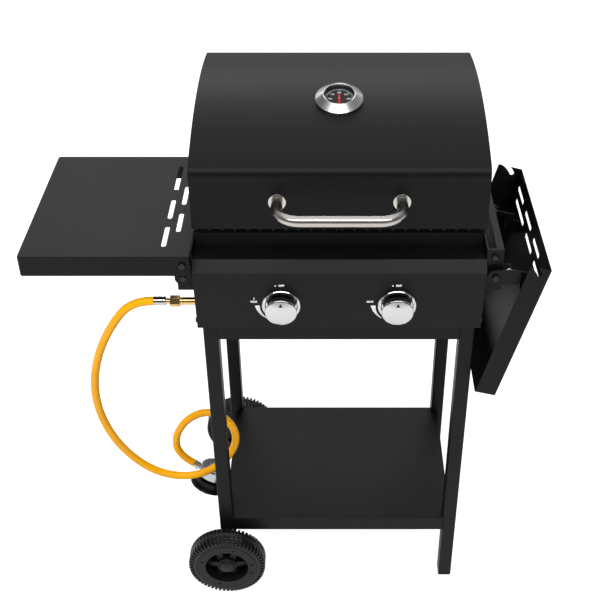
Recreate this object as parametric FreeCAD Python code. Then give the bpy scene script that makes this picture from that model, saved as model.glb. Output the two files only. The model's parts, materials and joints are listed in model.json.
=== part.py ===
import FreeCAD, Part
import math
import os

# Two-burner gas barbecue grill on a four-legged cart with two wheels.
# Working frame: x to the right, y to the back, z up, millimetres; x = 0 is the
# middle of the cart, the front legs' faces look towards -y, and z = 0 is the ground.
# At the end every piece is moved so that the origin is the middle of the base.

V = FreeCAD.Vector

# ---------------------------------------------------------------- driving sizes
SHEET = 1.5              # steel sheet of the box, panel and lid
THIN_SHEET = 1.2         # steel sheet of tables, shelf, tray
PART_GAP = 0.3           # air between pieces that move past each other
PIN_GAP = 0.06           # radial play of a pin in its bore

# cart
LEG_W = 25.0             # leg tube, across
LEG_D = 30.0             # leg tube, front to back
LEG_WALL = 1.5
LEG_CORNER = 2.5
FRONT_LEG_Y = -177.5     # front faces of the front legs
REAR_LEG_Y = 128.0       # front faces of the rear legs
LEFT_LEG_FOOT_Z = 58.0
FRONT_LEG_OVERLAP = 35.0  # front legs reach up over the fire box's front wall
FOOT_H = 3.0
FOOT_PLUG_H = 14.0
RAIL_H = 30.0            # tubes under the fire box
APRON_H = 44.0
APRON_LIP = 15.0
REAR_CROSS_Z = 560.0
REAR_CROSS_H = 28.0

# shelf
SHELF_TOP_Z = 166.0
SHELF_FLANGE = 32.0
SHELF_BACK_Y = 143.0

# fire box
BOX_HALF_X = 235.0
LEG_OUT_X = BOX_HALF_X - 6.5      # outer faces of the legs
SHELF_HALF_X = LEG_OUT_X - 11.5
BOX_FRONT_Y = -147.5
BOX_BACK_Y = 213.5
BOX_BOTTOM_Z = 630.0
BOX_H = 168.0
BOX_TOP_Z = BOX_BOTTOM_Z + BOX_H
FLOOR_HOLE_HALF_X = BOX_HALF_X - 65.0
FLOOR_HOLE_MARGIN_Y = 38.0
LEDGE_D = 12.0
GRATE_TOP_Z = BOX_TOP_Z + 5.0
GRATE_BAR_D = 5.0
GRATE_CROSS_D = 6.0
GRATE_BARS = 12
GRATE_SIDE_GAP = 2.0

# burners and flame tamers
KNOB_X = 94.5
BURNER_R = 13.0
BURNER_WALL = 1.2
FIRST_PORT = 40.0
BURNER_Z = 690.5
TAMER_HALF_W = 45.0
TAMER_LEDGE_Z = 718.0
TAMER_RISE = 24.0

# control panel
PANEL_HALF_X = BOX_HALF_X
PANEL_TOP_Z = 770.0
PANEL_BOTTOM_Z = 638.0
PANEL_SHOULDER_Y = -182.5
PANEL_NOSE_Y = -199.5
PANEL_NOSE_Z = 754.0
PANEL_FOOT_Y = -190.0
PANEL_RETURN = 9.0
PANEL_SCREW_R = 2.0

# knobs and valves
KNOB_Z = 687.0
BEZEL_R = 31.8
BEZEL_INNER_R = 26.5
BEZEL_H = 3.0
KNOB_R = 23.0
KNOB_CAP_R = 26.0
KNOB_REST = 4.2          # knob's back face above the panel
KNOB_BODY_H = 12.5
KNOB_CAP_H = 8.5
PUSH_TRAVEL = 3.0
STEM_R = 4.0
JET_REACH = 14.0         # gas jet's length in front of the fire box
STEM_DEPTH = 11.0        # stem's inner end behind the panel's face
VALVE_R = 12.0
MANIFOLD_END = 14.0      # the pipe runs this far past the last valve
GLAND_WALL = 3.0
GLAND_H = 2.8
NOZZLE_R = 5.0

# gas inlet
MANIFOLD_R = 8.0
MANIFOLD_Y = -170.0
GAS_Y = -175.0
GAS_Z = 682.5
INLET_R = 6.5
INLET_END_X = -(BOX_HALF_X + 27.0)
HEX_FLATS = 16.5
HEX_LEN = 16.0
NECK_R = 4.6
NECK_LEN = 7.0
FERRULE_R = 7.8
FERRULE_LEN = 21.0
HOSE_D = 14.5

# lid
LID_HALF_X = BOX_HALF_X
LID_LIP_Y = -158.5
LID_FRONT_H = 101.0
LID_RISE = 50.5          # from the front bend to the crown
LID_BACK_DROP = 11.5
LID_LIP_Z = BOX_TOP_Z + 14.0
LID_BEND_Y = -153.0
LID_BEND_Z = LID_LIP_Z + LID_FRONT_H
LID_CROWN_Y = 77.0
LID_CROWN_Z = LID_BEND_Z + LID_RISE
LID_BACK_Y = 215.0
LID_BACK_TOP_Z = LID_CROWN_Z - LID_BACK_DROP
LID_BEND_R = 20.0
LID_BACK_R = 9.0
LID_END_INSET = 2.0
HINGE_R = 4.5
HINGE_PIN_R = 2.2
HINGE_Z = LID_LIP_Z - 8.0
HINGE_X = LID_HALF_X - 70.0
HINGE_W = 60.0
HINGE_LEAF = 2.0
HINGE_LEAF_H = 30.0

# lid handle
HANDLE_HALF_X = 98.0
HANDLE_Z = LID_LIP_Z + 48.0
HANDLE_REACH = 64.0
HANDLE_R = 9.25
HANDLE_WALL = 1.5
HANDLE_BEND_R = 38.0
WASHER_R = 14.0
WASHER_H = 2.0

# thermometer
THERMO_Y = 3.0
THERMO_TILT = 14.0
THERMO_R = 39.0
THERMO_RIM_H = 6.0
THERMO_H = 15.0
DIAL_R = 25.0
NEEDLE_TIP = 11.0
NEEDLE_TAIL = 13.0
THERMO_STEM_R = 4.0
STEM_HOLE_REACH = 20.0
THERMO_STEM_LEN = 60.0

# side rails
SIDE_RAIL_X = BOX_HALF_X + 27.0
SIDE_RAIL_NOTCH_X = BOX_HALF_X + 19.5
SIDE_RAIL_NOTCH_Y = -140.0
SIDE_RAIL_FRONT_Y = -182.5
SIDE_RAIL_BACK_Y = 99.5
SIDE_RAIL_BOTTOM_Z = 710.0
SIDE_RAIL_TOP_Z = 788.0
RAIL_SLOT_X = BOX_HALF_X + 3.0
RAIL_SLOT_W = 12.0

# side tables
TABLE_W = 270.5
TABLE_IN_X = BOX_HALF_X + 1.5
TABLE_OUT_X = TABLE_IN_X + TABLE_W
TABLE_FRONT_Y = -206.5
TABLE_BACK_Y = 123.5
TABLE_TOP_Z = 790.0
TABLE_FLANGE = 36.0
TABLE_BACK_FLANGE = 45.0
TABLE_DEEP_END = 12.0     # the deep back flange stops this far from the outer edge
TABLE_CORNER_R = 5.0
TABLE_EDGE_R = 1.8
PIVOT_X = BOX_HALF_X + 41.0
PIVOT_Z = 738.0
PIVOT_PIN_R = 3.0
PIVOT_EAR_R = 8.0
EAR_T = 3.0
EAR_W = 22.0
EAR_NECK_GAP = 13.0      # from the table's sheet to the ear's neck
EAR_NECK_H = 15.0
FRONT_EAR_Y = -165.0
REAR_EAR_Y = 20.0
RIGHT_FOLD_DEG = 104.4
UTENSIL_SLOT_W = 8.0
UTENSIL_ROW_IN = BOX_HALF_X + 26.5
UTENSIL_ROW_OUT = BOX_HALF_X + 45.0
UTENSIL_SLOTS_IN = ((74.5, 132.0), (160.0, 221.0), (248.0, 307.0))      # from the front edge
UTENSIL_SLOTS_OUT = ((30.5, 90.5), (115.0, 176.0), (205.5, 292.0))
HOOK_X = BOX_HALF_X + 13.0
HOOK_Z = 774.0
HOOK_SLOT_W = 8.0
HOOK_PIN_R = 3.0
HEAD_R = 5.5
HEAD_H = 4.5

# latch plates
LATCH_X = BOX_HALF_X + 15.5
LATCH_Z = 742.0
LATCH_LEN = 55.0
LATCH_W = 27.0
LATCH_T = 2.5
LATCH_INNER_END = 13.0
LATCH_CORNER_R = 11.0
LATCH_GAP = 8.5          # from the rail's face to the plate's back
LATCH_SLOT_W = 7.5

# wheels
WHEEL_R = 74.5
WHEEL_W = 38.0
WHEEL_X = -(LEG_OUT_X - 12.5)
TYRE_INNER_R = 58.0
HUB_WELL_R = 41.5
HUB_R = 17.0
HUB_CAP_R = 15.5
AXLE_R = 5.0
WHEEL_GAP = 7.0          # from the leg to the wheel's inner face
SPOKES = 6
HUB_HOLE_ANGLES = (10.7, 71.5, 161.5, 251.5, 341.5)

# drip tray
TRAY_HALF_X = BOX_HALF_X - 45.0
TRAY_FRONT_Y = -130.0
TRAY_BACK_Y = 196.0
TRAY_TOP_Z = 622.0
TRAY_DEPTH = 27.0
TRAY_LIP = 11.0
RUNNER_W = 10.0

# regulator: heights run up from the foot of its hand wheel
REG_AT = V(-BOX_HALF_X - 16.6, -101.4, 182.0)
REG_AXIS = V(0.33, 0.23, 1.0)
REG_ARM = V(-0.80, 0.05, 0.60)
GRIP_RIM_R = 40.0
GRIP_RIM_H = 4.0
GRIP_R = 32.0
GRIP_H = 16.0
GRIP_FLUTES = 16
GRIP_FLUTE_R = 3.0
REG_NECK_R = 12.0
REG_BODY_LOW = 19.0
REG_BODY_R = 29.0
REG_BODY_H = 23.0
REG_CAP_R = 12.0
REG_CAP_H = 6.0
REG_ARM_AT = 24.0
REG_SPIGOT_R = 5.0
REG_SPIGOT_LEN = 48.0    # from the body's axis to the hose's end
END_FERRULE_LEN = 14.0

# gas hose: hand-chosen points measured from its start, each run ending at the next point
HOSE_ROUTE = [
    (-36, 0, 0), (-76, 2, -50.5), (-110, 7, -122.5), (-128, 15, -204.5),
    (-124, 23, -286.5), (-96, 30, -366.5), (-44, 37, -431.5), (23, 44, -453.5),
    (84, 54, -428.5), (116, 67, -380.5), (104, 75, -336.5), (65, 78, -310.5),
    (21, 80, -331.5), (-7, 81, -380.5),
]
HOSE_LAST_RUN = 34.0

# ---------------------------------------------------------------- derived places
LEG_IN_X = LEG_OUT_X - LEG_W
FRONT_LEG_BACK_Y = FRONT_LEG_Y + LEG_D
REAR_LEG_BACK_Y = REAR_LEG_Y + LEG_D
FRONT_LEG_TOP_Z = BOX_BOTTOM_Z + FRONT_LEG_OVERLAP
RAIL_BOTTOM_Z = BOX_BOTTOM_Z - RAIL_H
AXLE_Z = WHEEL_R
AXLE_X = WHEEL_X
HINGE_Y = LID_BACK_Y + HINGE_R
PANEL_LEAN = math.atan2(PANEL_FOOT_Y - PANEL_NOSE_Y, PANEL_NOSE_Z - PANEL_BOTTOM_Z)
PANEL_FACE_Y = PANEL_NOSE_Y + (PANEL_NOSE_Z - KNOB_Z) * math.tan(PANEL_LEAN)
LID_LEAN = math.atan2(LID_BEND_Y - LID_LIP_Y, LID_BEND_Z - LID_LIP_Z)
LID_FACE_Y = LID_LIP_Y + (HANDLE_Z - LID_LIP_Z) * math.tan(LID_LEAN)
FERRULE_END_X = INLET_END_X - HEX_LEN - NECK_LEN - FERRULE_LEN

NODES = {}


# ---------------------------------------------------------------- helpers
def box(x0, x1, y0, y1, z0, z1):
    return Part.makeBox(x1 - x0, y1 - y0, z1 - z0, V(x0, y0, z0))


def rod(start, direction, radius, length):
    return Part.makeCylinder(radius, length, V(*start), V(*direction))


def prism(points, push):
    wire = Part.makePolygon(points + [points[0]])
    return Part.Face(wire).extrude(push)


def yz_prism(points, x0, x1):
    return prism([V(x0, y, z) for y, z in points], V(x1 - x0, 0, 0))


def xz_prism(points, y0, y1):
    return prism([V(x, y0, z) for x, z in points], V(0, y1 - y0, 0))


def join(shapes):
    whole = shapes[0]
    for piece in shapes[1:]:
        whole = whole.fuse(piece)
    return whole.removeSplitter()


def group(shapes):
    return Part.makeCompound(shapes)


def mirrored(shape):
    return shape.mirror(V(0, 0, 0), V(1, 0, 0))


def round_edges(shape, radius, wanted):
    edges = [edge for edge in shape.Edges if wanted(edge)]
    return shape.makeFillet(radius, edges)


def runs_along(edge, axis):
    start, end = edge.Vertexes[0].Point, edge.Vertexes[-1].Point
    across = [i for i in range(3) if i != axis]
    return len(edge.Vertexes) == 2 and all(abs(start[i] - end[i]) < 1e-6 for i in across)


def slot_z(x, y0, y1, width, z0, z1):
    """A round-ended slot along y, cut straight down."""
    r = width / 2
    bar = box(x - r, x + r, y0 + r, y1 - r, z0, z1)
    ends = [rod((x, y, z0), (0, 0, 1), r, z1 - z0) for y in (y0 + r, y1 - r)]
    return join([bar] + ends)


def tube_box(x0, x1, y0, y1, z0, z1, wall, axis):
    """A square tube along x, y or z with rounded long edges, open at both ends."""
    outer = round_edges(box(x0, x1, y0, y1, z0, z1), LEG_CORNER, lambda e: runs_along(e, axis))
    low, high = [x0, y0, z0], [x1, y1, z1]
    for i in range(3):
        step = -1.0 if i == axis else wall
        low[i] += step
        high[i] -= step
    return outer.cut(box(low[0], high[0], low[1], high[1], low[2], high[2]))


def screw(at, direction, shank_r, shank_len, head_r, head_h):
    """Pan-head screw: the head's seat is at `at`, the shank runs along direction."""
    d = V(*direction)
    d.normalize()
    at = V(*at)
    shank = Part.makeCylinder(shank_r, shank_len, at, d)
    head = Part.makeCylinder(head_r, head_h, at, d * -1)
    rim = [e for e in head.Edges if (e.CenterOfMass - (at - d * head_h)).Length < 0.01]
    head = head.makeFillet(head_h * 0.4, rim)
    return shank.fuse(head).removeSplitter()


def hexagon(at, direction, flats, length):
    """Hexagonal nut blank with its corners along the direction."""
    d = V(*direction)
    d.normalize()
    side = V(0, 0, 1).cross(d) if abs(d.z) < 0.9 else V(1, 0, 0)
    side.normalize()
    other = d.cross(side)
    corner = flats / math.sqrt(3)
    points = []
    for i in range(6):
        a = math.radians(60 * i)
        points.append(V(*at) + side * (corner * math.cos(a)) + other * (corner * math.sin(a)))
    return prism(points, d * length)


def ring(at, direction, outer_r, inner_r, length):
    d = V(*direction)
    d.normalize()
    at = V(*at)
    outer = Part.makeCylinder(outer_r, length, at, d)
    inner = Part.makeCylinder(inner_r, length + 2, at - d, d)
    return outer.cut(inner)


def lathe(profile, at, direction):
    """Revolve (radius, height) points about an axis through `at`."""
    face = Part.Face(Part.makePolygon([V(r, 0, h) for r, h in profile + [profile[0]]]))
    solid = face.revolve(V(0, 0, 0), V(0, 0, 1), 360)
    d = V(*direction)
    d.normalize()
    solid.Placement = FreeCAD.Placement(V(*at), FreeCAD.Rotation(V(0, 0, 1), d))
    return solid


def rounded_path(points):
    """Straight runs joined by tangent arcs, each as large as its runs allow."""
    points = [V(*p) for p in points]
    edges, radii, start = [], [], points[0]
    for i in range(1, len(points) - 1):
        back = points[i - 1] - points[i]
        ahead = points[i + 1] - points[i]
        reach = 0.45 * min(back.Length, ahead.Length)
        back.normalize()
        ahead.normalize()
        half_turn = (math.pi - back.getAngle(ahead)) / 2
        radius = reach / math.tan(half_turn)
        bisector = back + ahead
        bisector.normalize()
        middle = points[i] + bisector * (radius / math.cos(half_turn) - radius)
        enter = points[i] + back * reach
        leave = points[i] + ahead * reach
        edges.append(Part.LineSegment(start, enter).toShape())
        edges.append(Part.Arc(enter, middle, leave).toShape())
        radii.append(radius)
        start = leave
    edges.append(Part.LineSegment(start, points[-1]).toShape())
    return Part.Wire(edges), radii


def pipe(points, radius):
    wire, radii = rounded_path(points)
    direction = V(*points[1]) - V(*points[0])
    circle = Part.Wire(Part.makeCircle(radius, V(*points[0]), direction))
    solid = wire.makePipeShell([circle], True, False)
    return solid, wire, radii


def turned(shape, centre, axis, degrees):
    copy = shape.copy()
    copy.rotate(V(*centre), V(*axis), degrees)
    return copy


# ---------------------------------------------------------------- cart frame
def leg(side, front_y, bottom_z, top_z):
    tube = tube_box(LEG_IN_X, LEG_OUT_X, front_y, front_y + LEG_D, bottom_z, top_z, LEG_WALL, 2)
    if side < 0:
        tube = mirrored(tube)
        tube = tube.cut(rod((AXLE_X, front_y - 1, AXLE_Z), (0, 1, 0), AXLE_R + 0.1, LEG_D + 2))
    return tube


def leg_screw_hole(side):
    x = side * (LEG_IN_X + LEG_W / 2)
    return (x, FRONT_LEG_Y, (BOX_BOTTOM_Z + FRONT_LEG_TOP_Z) / 2)


def foot(front_y):
    inset = LEG_WALL + 0.2
    cap = box(LEG_IN_X, LEG_OUT_X, front_y, front_y + LEG_D, 0, FOOT_H)
    cap = round_edges(cap, LEG_CORNER, lambda e: runs_along(e, 2))
    plug = box(LEG_IN_X + inset, LEG_OUT_X - inset, front_y + inset, front_y + LEG_D - inset,
               FOOT_H - 1, FOOT_H + FOOT_PLUG_H)
    return join([cap, plug])


def cart_frame():
    for side, name in ((-1, "left"), (1, "right")):
        foot_z = LEFT_LEG_FOOT_Z if side < 0 else FOOT_H
        front = leg(side, FRONT_LEG_Y, foot_z, FRONT_LEG_TOP_Z)
        hole = rod(leg_screw_hole(side), (0, 1, 0), 3.1, LEG_D + SHEET + 2)
        NODES["leg_front_" + name] = front.cut(hole)
        NODES["leg_rear_" + name] = leg(side, REAR_LEG_Y, foot_z, RAIL_BOTTOM_Z)
    NODES["leg_feet"] = group([foot(FRONT_LEG_Y), foot(REAR_LEG_Y)])

    rail = tube_box(LEG_IN_X, LEG_OUT_X, FRONT_LEG_BACK_Y, REAR_LEG_BACK_Y,
                    RAIL_BOTTOM_Z, BOX_BOTTOM_Z, LEG_WALL, 1)
    NODES["frame_side_rails"] = group([rail, mirrored(rail)])

    apron_z = FRONT_LEG_TOP_Z - 17.0 - APRON_H
    face = box(-LEG_IN_X, LEG_IN_X, FRONT_LEG_Y, FRONT_LEG_Y + SHEET, apron_z, apron_z + APRON_H)
    lower = box(-LEG_IN_X, LEG_IN_X, FRONT_LEG_Y, FRONT_LEG_Y + APRON_LIP, apron_z, apron_z + SHEET)
    top_z = apron_z + APRON_H
    upper = box(-LEG_IN_X, LEG_IN_X, FRONT_LEG_Y, FRONT_LEG_Y + APRON_LIP, top_z - SHEET, top_z)
    apron = join([face, lower, upper])
    rear = tube_box(-LEG_IN_X, LEG_IN_X, REAR_LEG_Y + 2.5, REAR_LEG_BACK_Y - 2.5,
                    REAR_CROSS_Z, REAR_CROSS_Z + REAR_CROSS_H, LEG_WALL, 0)
    NODES["frame_cross_rails"] = group([apron, rear])


def shelf_outline(grow):
    """Plan of the shelf: notched round the four legs; grow moves every side inwards."""
    side, leg_x = SHELF_HALF_X - grow, LEG_IN_X - grow
    front, back = FRONT_LEG_Y + grow, SHELF_BACK_Y - grow
    front_notch, rear_notch = FRONT_LEG_BACK_Y + grow, REAR_LEG_Y - grow
    half = [(leg_x, front), (leg_x, front_notch), (side, front_notch),
            (side, rear_notch), (leg_x, rear_notch), (leg_x, back)]
    return half + [(-x, y) for x, y in reversed(half)]


def bottom_shelf():
    low = SHELF_TOP_Z - SHELF_FLANGE
    outer = prism([V(x, y, low) for x, y in shelf_outline(0)], V(0, 0, SHELF_FLANGE))
    inner = prism([V(x, y, low - 1) for x, y in shelf_outline(THIN_SHEET)],
                  V(0, 0, SHELF_FLANGE - THIN_SHEET + 1))
    NODES["bottom_shelf"] = outer.cut(inner)


# ---------------------------------------------------------------- fire box
def grate_ledge_z():
    return GRATE_TOP_Z - GRATE_BAR_D - GRATE_CROSS_D + 1.0


def firebox():
    inner_x = BOX_HALF_X - SHEET
    front, back = BOX_FRONT_Y + SHEET, BOX_BACK_Y - SHEET
    shell = box(-BOX_HALF_X, BOX_HALF_X, BOX_FRONT_Y, BOX_BACK_Y, BOX_BOTTOM_Z, BOX_TOP_Z)
    shell = round_edges(shell, 3.0, lambda e: runs_along(e, 2))
    shell = shell.cut(box(-inner_x, inner_x, front, back, BOX_BOTTOM_Z + SHEET, BOX_TOP_Z + 1))
    for z in (grate_ledge_z(), TAMER_LEDGE_Z):
        for y0, y1 in ((front - 0.5, front + LEDGE_D), (back - LEDGE_D, back + 0.5)):
            shell = shell.fuse(box(-inner_x + 2, inner_x - 2, y0, y1, z - SHEET, z))
    shell = shell.cut(box(-FLOOR_HOLE_HALF_X, FLOOR_HOLE_HALF_X,
                          BOX_FRONT_Y + FLOOR_HOLE_MARGIN_Y, BOX_BACK_Y - FLOOR_HOLE_MARGIN_Y,
                          BOX_BOTTOM_Z - 1, BOX_BOTTOM_Z + SHEET + 1))
    for side in (-1, 1):
        x = side * KNOB_X
        shell = shell.cut(rod((x, BOX_FRONT_Y - 1, BURNER_Z), (0, 1, 0), NOZZLE_R + 1.5, SHEET + 2))
        hole = rod(leg_screw_hole(side), (0, 1, 0), 3.1, LEG_D + SHEET + 2)
        shell = shell.cut(hole)
    NODES["firebox"] = shell.removeSplitter()


def burner(x):
    front, back = BOX_FRONT_Y + SHEET, BOX_BACK_Y - SHEET
    body_end = back - 14.0
    tube = rod((x, front, BURNER_Z), (0, 1, 0), BURNER_R, body_end - front)
    bore = rod((x, front - 1, BURNER_Z), (0, 1, 0), BURNER_R - BURNER_WALL,
               body_end - front + 1 - BURNER_WALL)
    flange = ring((x, front, BURNER_Z), (0, 1, 0), BURNER_R + 6, BURNER_R - 1, THIN_SHEET)
    tab = box(x - 8, x + 8, body_end - 1, back, BURNER_Z - 1, BURNER_Z + 1)
    shape = join([tube, flange, tab]).cut(bore)
    ports = []
    for side in (-1, 1):
        y = front + FIRST_PORT
        while y < body_end - 14.0:
            ports.append(rod((x, y, BURNER_Z + 3), (side, 0, 0.45), 1.4, BURNER_R + 4))
            y += 12.0
    return shape.cut(group(ports))


def flame_tamer(x):
    front, back = BOX_FRONT_Y + SHEET, BOX_BACK_Y - SHEET
    lean = math.atan2(TAMER_RISE, TAMER_HALF_W)
    foot_w = THIN_SHEET / math.sin(lean)
    drop = THIN_SHEET / math.cos(lean)
    top = TAMER_LEDGE_Z + TAMER_RISE
    points = [(x - TAMER_HALF_W, TAMER_LEDGE_Z), (x, top), (x + TAMER_HALF_W, TAMER_LEDGE_Z),
              (x + TAMER_HALF_W - foot_w, TAMER_LEDGE_Z), (x, top - drop),
              (x - TAMER_HALF_W + foot_w, TAMER_LEDGE_Z)]
    return xz_prism(points, front + PART_GAP, back - PART_GAP)


def cooking_grate(side):
    """Welded rod grid over one burner; the long bars run front to back."""
    inner = 1.5
    outer = BOX_HALF_X - SHEET - GRATE_SIDE_GAP
    front = BOX_FRONT_Y + SHEET + GRATE_SIDE_GAP
    back = BOX_BACK_Y - SHEET - GRATE_SIDE_GAP
    bar_z = GRATE_TOP_Z - GRATE_BAR_D / 2
    cross_z = grate_ledge_z() + GRATE_CROSS_D / 2
    first, last = inner + GRATE_BAR_D / 2, outer - GRATE_BAR_D / 2
    pitch = (last - first) / (GRATE_BARS - 1)
    rods = []
    for y in (front + LEDGE_D / 2, (front + back) / 2, back - LEDGE_D / 2):
        rods.append(rod((inner, y, cross_z), (1, 0, 0), GRATE_CROSS_D / 2, outer - inner))
    for i in range(GRATE_BARS):
        rods.append(rod((first + i * pitch, front, bar_z), (0, 1, 0), GRATE_BAR_D / 2, back - front))
    grid = rods[0].multiFuse(rods[1:])
    return grid if side > 0 else mirrored(grid)


def fire_parts():
    for side, name in ((-1, "left"), (1, "right")):
        NODES["burner_" + name] = burner(side * KNOB_X)
    NODES["flame_tamers"] = group([flame_tamer(-KNOB_X), flame_tamer(KNOB_X)])
    NODES["cooking_grates"] = group([cooking_grate(-1), cooking_grate(1)])
    # spark electrode clipped under the left burner
    x, y = -KNOB_X, BOX_FRONT_Y + SHEET + 30.0
    clip = box(x + BURNER_R, x + BURNER_R + 14, y - 5, y + 5, BURNER_Z - 1, BURNER_Z + 1)
    insulator = rod((x + BURNER_R + 10, y, BURNER_Z - 18), (0, 0, 1), 3.2, 28)
    tip = rod((x + BURNER_R + 10, y, BURNER_Z + 9), (-0.5, 0, 0.85), 1.0, 9)
    NODES["igniter_electrode"] = join([clip, insulator, tip])


# ---------------------------------------------------------------- drip tray
def drip_tray():
    low = TRAY_TOP_Z - TRAY_DEPTH
    wall = THIN_SHEET
    pan = box(-TRAY_HALF_X, TRAY_HALF_X, TRAY_FRONT_Y, TRAY_BACK_Y, low, TRAY_TOP_Z + wall)
    pan = round_edges(pan, 6.0, lambda e: runs_along(e, 2))
    inner = box(-TRAY_HALF_X + wall, TRAY_HALF_X - wall, TRAY_FRONT_Y + wall, TRAY_BACK_Y - wall,
                low + wall, TRAY_TOP_Z + wall + 1)
    rim_x = TRAY_HALF_X + TRAY_LIP
    rim = box(-rim_x, rim_x, TRAY_FRONT_Y, TRAY_BACK_Y, TRAY_TOP_Z, TRAY_TOP_Z + wall)
    pull = box(-45, 45, TRAY_BACK_Y - 0.5, TRAY_BACK_Y + 16, TRAY_TOP_Z, TRAY_TOP_Z + wall)
    lip = box(-45, 45, TRAY_BACK_Y + 16 - wall, TRAY_BACK_Y + 16, TRAY_TOP_Z - 12, TRAY_TOP_Z + wall)
    NODES["drip_tray"] = join([pan, rim]).cut(inner).fuse(join([pull, lip])).removeSplitter()

    top = TRAY_TOP_Z - PART_GAP
    y0, y1 = FRONT_LEG_BACK_Y + 5.0, REAR_LEG_BACK_Y
    foot_part = box(LEG_IN_X - RUNNER_W, LEG_IN_X, y0, y1, top - SHEET, top)
    web = box(LEG_IN_X - SHEET, LEG_IN_X, y0, y1, RAIL_BOTTOM_Z + 2, top)
    runner = join([foot_part, web])
    NODES["drip_tray_runners"] = group([runner, mirrored(runner)])


# ---------------------------------------------------------------- control panel
def panel_section(grow):
    """Side view of the panel; grow moves its outer skin inwards."""
    lean = math.tan(PANEL_LEAN)
    nose_y, nose_z = PANEL_NOSE_Y + grow, PANEL_NOSE_Z - 0.4 * grow
    foot_z = PANEL_BOTTOM_Z + grow
    foot_y = nose_y + (nose_z - foot_z) * lean
    shoulder_y = PANEL_SHOULDER_Y + 0.4 * grow
    return [(BOX_FRONT_Y, PANEL_TOP_Z - grow), (shoulder_y, PANEL_TOP_Z - grow),
            (nose_y, nose_z), (foot_y, foot_z)]


def knob_frame(side):
    """Where a knob's axis meets the panel's face, and the outward direction."""
    outward = V(0, -math.cos(PANEL_LEAN), -math.sin(PANEL_LEAN))
    return V(side * KNOB_X, PANEL_FACE_Y, KNOB_Z), outward


def panel_screw_seat(side):
    return (side * PANEL_HALF_X, PANEL_FOOT_Y + 8.0, PANEL_BOTTOM_Z + 11.0)


def control_panel():
    outer = panel_section(0)
    inner = panel_section(SHEET)
    solid = yz_prism(outer + [(BOX_FRONT_Y, PANEL_BOTTOM_Z)], -PANEL_HALF_X, PANEL_HALF_X)
    back_y = PANEL_FOOT_Y + PANEL_RETURN
    cavity = yz_prism(inner + [(BOX_FRONT_Y, PANEL_BOTTOM_Z + SHEET)],
                      -PANEL_HALF_X + SHEET, PANEL_HALF_X - SHEET)
    slot = box(-PANEL_HALF_X + SHEET, PANEL_HALF_X - SHEET, back_y, BOX_FRONT_Y + 1,
               PANEL_BOTTOM_Z - 1, PANEL_BOTTOM_Z + SHEET + 1)
    open_back = box(-PANEL_HALF_X + SHEET, PANEL_HALF_X - SHEET, BOX_FRONT_Y - SHEET, BOX_FRONT_Y + 1,
                    PANEL_BOTTOM_Z - 1, PANEL_TOP_Z - SHEET)
    shell = solid.cut(cavity).cut(slot).cut(open_back)
    for side in (-1, 1):
        centre, outward = knob_frame(side)
        shell = shell.cut(Part.makeCylinder(STEM_R + 2.0, 8, centre - outward * 4, outward))
        shell = shell.cut(rod(panel_screw_seat(side), (-side, 0, 0), PANEL_SCREW_R, SHEET + 1))
    shell = shell.cut(rod((-PANEL_HALF_X - 1, GAS_Y, GAS_Z), (1, 0, 0), INLET_R + 0.2, SHEET + 2))
    NODES["control_panel"] = shell.removeSplitter()


def knob_parts():
    bezels = []
    for side, name in ((-1, "left"), (1, "right")):
        centre, outward = knob_frame(side)
        lip = BEZEL_H * 0.5
        bezels.append(lathe([(STEM_R + 1.2, 0), (BEZEL_R, 0), (BEZEL_R, lip), (BEZEL_R - 1.2, BEZEL_H),
                             (BEZEL_INNER_R, BEZEL_H), (BEZEL_INNER_R - 1, 1.0),
                             (STEM_R + 1.2, 1.0)], centre, outward))
        base = centre + outward * KNOB_REST
        bore_r = STEM_R + PIN_GAP
        grip = KNOB_R - 1.5
        body_top = KNOB_BODY_H
        NODES["knob_" + name] = lathe(
            [(bore_r, 0), (KNOB_R - 1, 0), (KNOB_R, 1), (grip, body_top), (bore_r, body_top)],
            base, outward)
        cap_low = KNOB_BODY_H
        cap_top = cap_low + KNOB_CAP_H
        cap = lathe([(0, cap_low), (KNOB_CAP_R - 2, cap_low), (KNOB_CAP_R, cap_low + 2),
                     (KNOB_CAP_R - 0.4, cap_low + 4.5), (KNOB_CAP_R - 2.5, cap_low + 6.6),
                     (KNOB_CAP_R * 0.55, cap_top - 0.5), (0, cap_top)], base, outward)
        NODES["knob_cap_" + name] = cap
        # the stem's tip stays just short of the cap
        behind = STEM_DEPTH
        stem_len = behind + KNOB_REST + KNOB_BODY_H - PART_GAP
        NODES["valve_stem_" + name] = Part.makeCylinder(STEM_R, stem_len, centre - outward * behind, outward)
        NODES["valve_" + name] = valve(centre, outward, behind)
    NODES["knob_bezels"] = group(bezels)


def valve(centre, outward, stem_depth):
    """Brass valve body saddled on the gas pipe, with its jet reaching the burner."""
    front = stem_depth - 6.0
    body = Part.makeCylinder(VALVE_R, 32.0, centre - outward * (front + 32.0), outward)
    gland = Part.makeCylinder(STEM_R + GLAND_WALL, GLAND_H, centre - outward * front, outward)
    bore_depth = stem_depth - front + PUSH_TRAVEL + 1.5
    bore = Part.makeCylinder(STEM_R + PIN_GAP, bore_depth + 10, centre - outward * (front + bore_depth), outward)
    jet_front = BOX_FRONT_Y - JET_REACH
    jet = rod((centre.x, jet_front, BURNER_Z), (0, 1, 0), NOZZLE_R, BOX_FRONT_Y + SHEET + 4 - jet_front)
    bore_tip = rod((centre.x, jet_front, BURNER_Z), (0, 1, 0), 1.0, 30)
    around = 3 * VALVE_R
    pipe_space = rod((centre.x - around, MANIFOLD_Y, GAS_Z), (1, 0, 0), MANIFOLD_R, 2 * around)
    limit = box(centre.x - around, centre.x + around, centre.y - 5, BOX_FRONT_Y - 1.0,
                GAS_Z - around, GAS_Z + around)
    return join([body.common(limit), gland, jet]).cut(bore).cut(bore_tip).cut(pipe_space)


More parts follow.
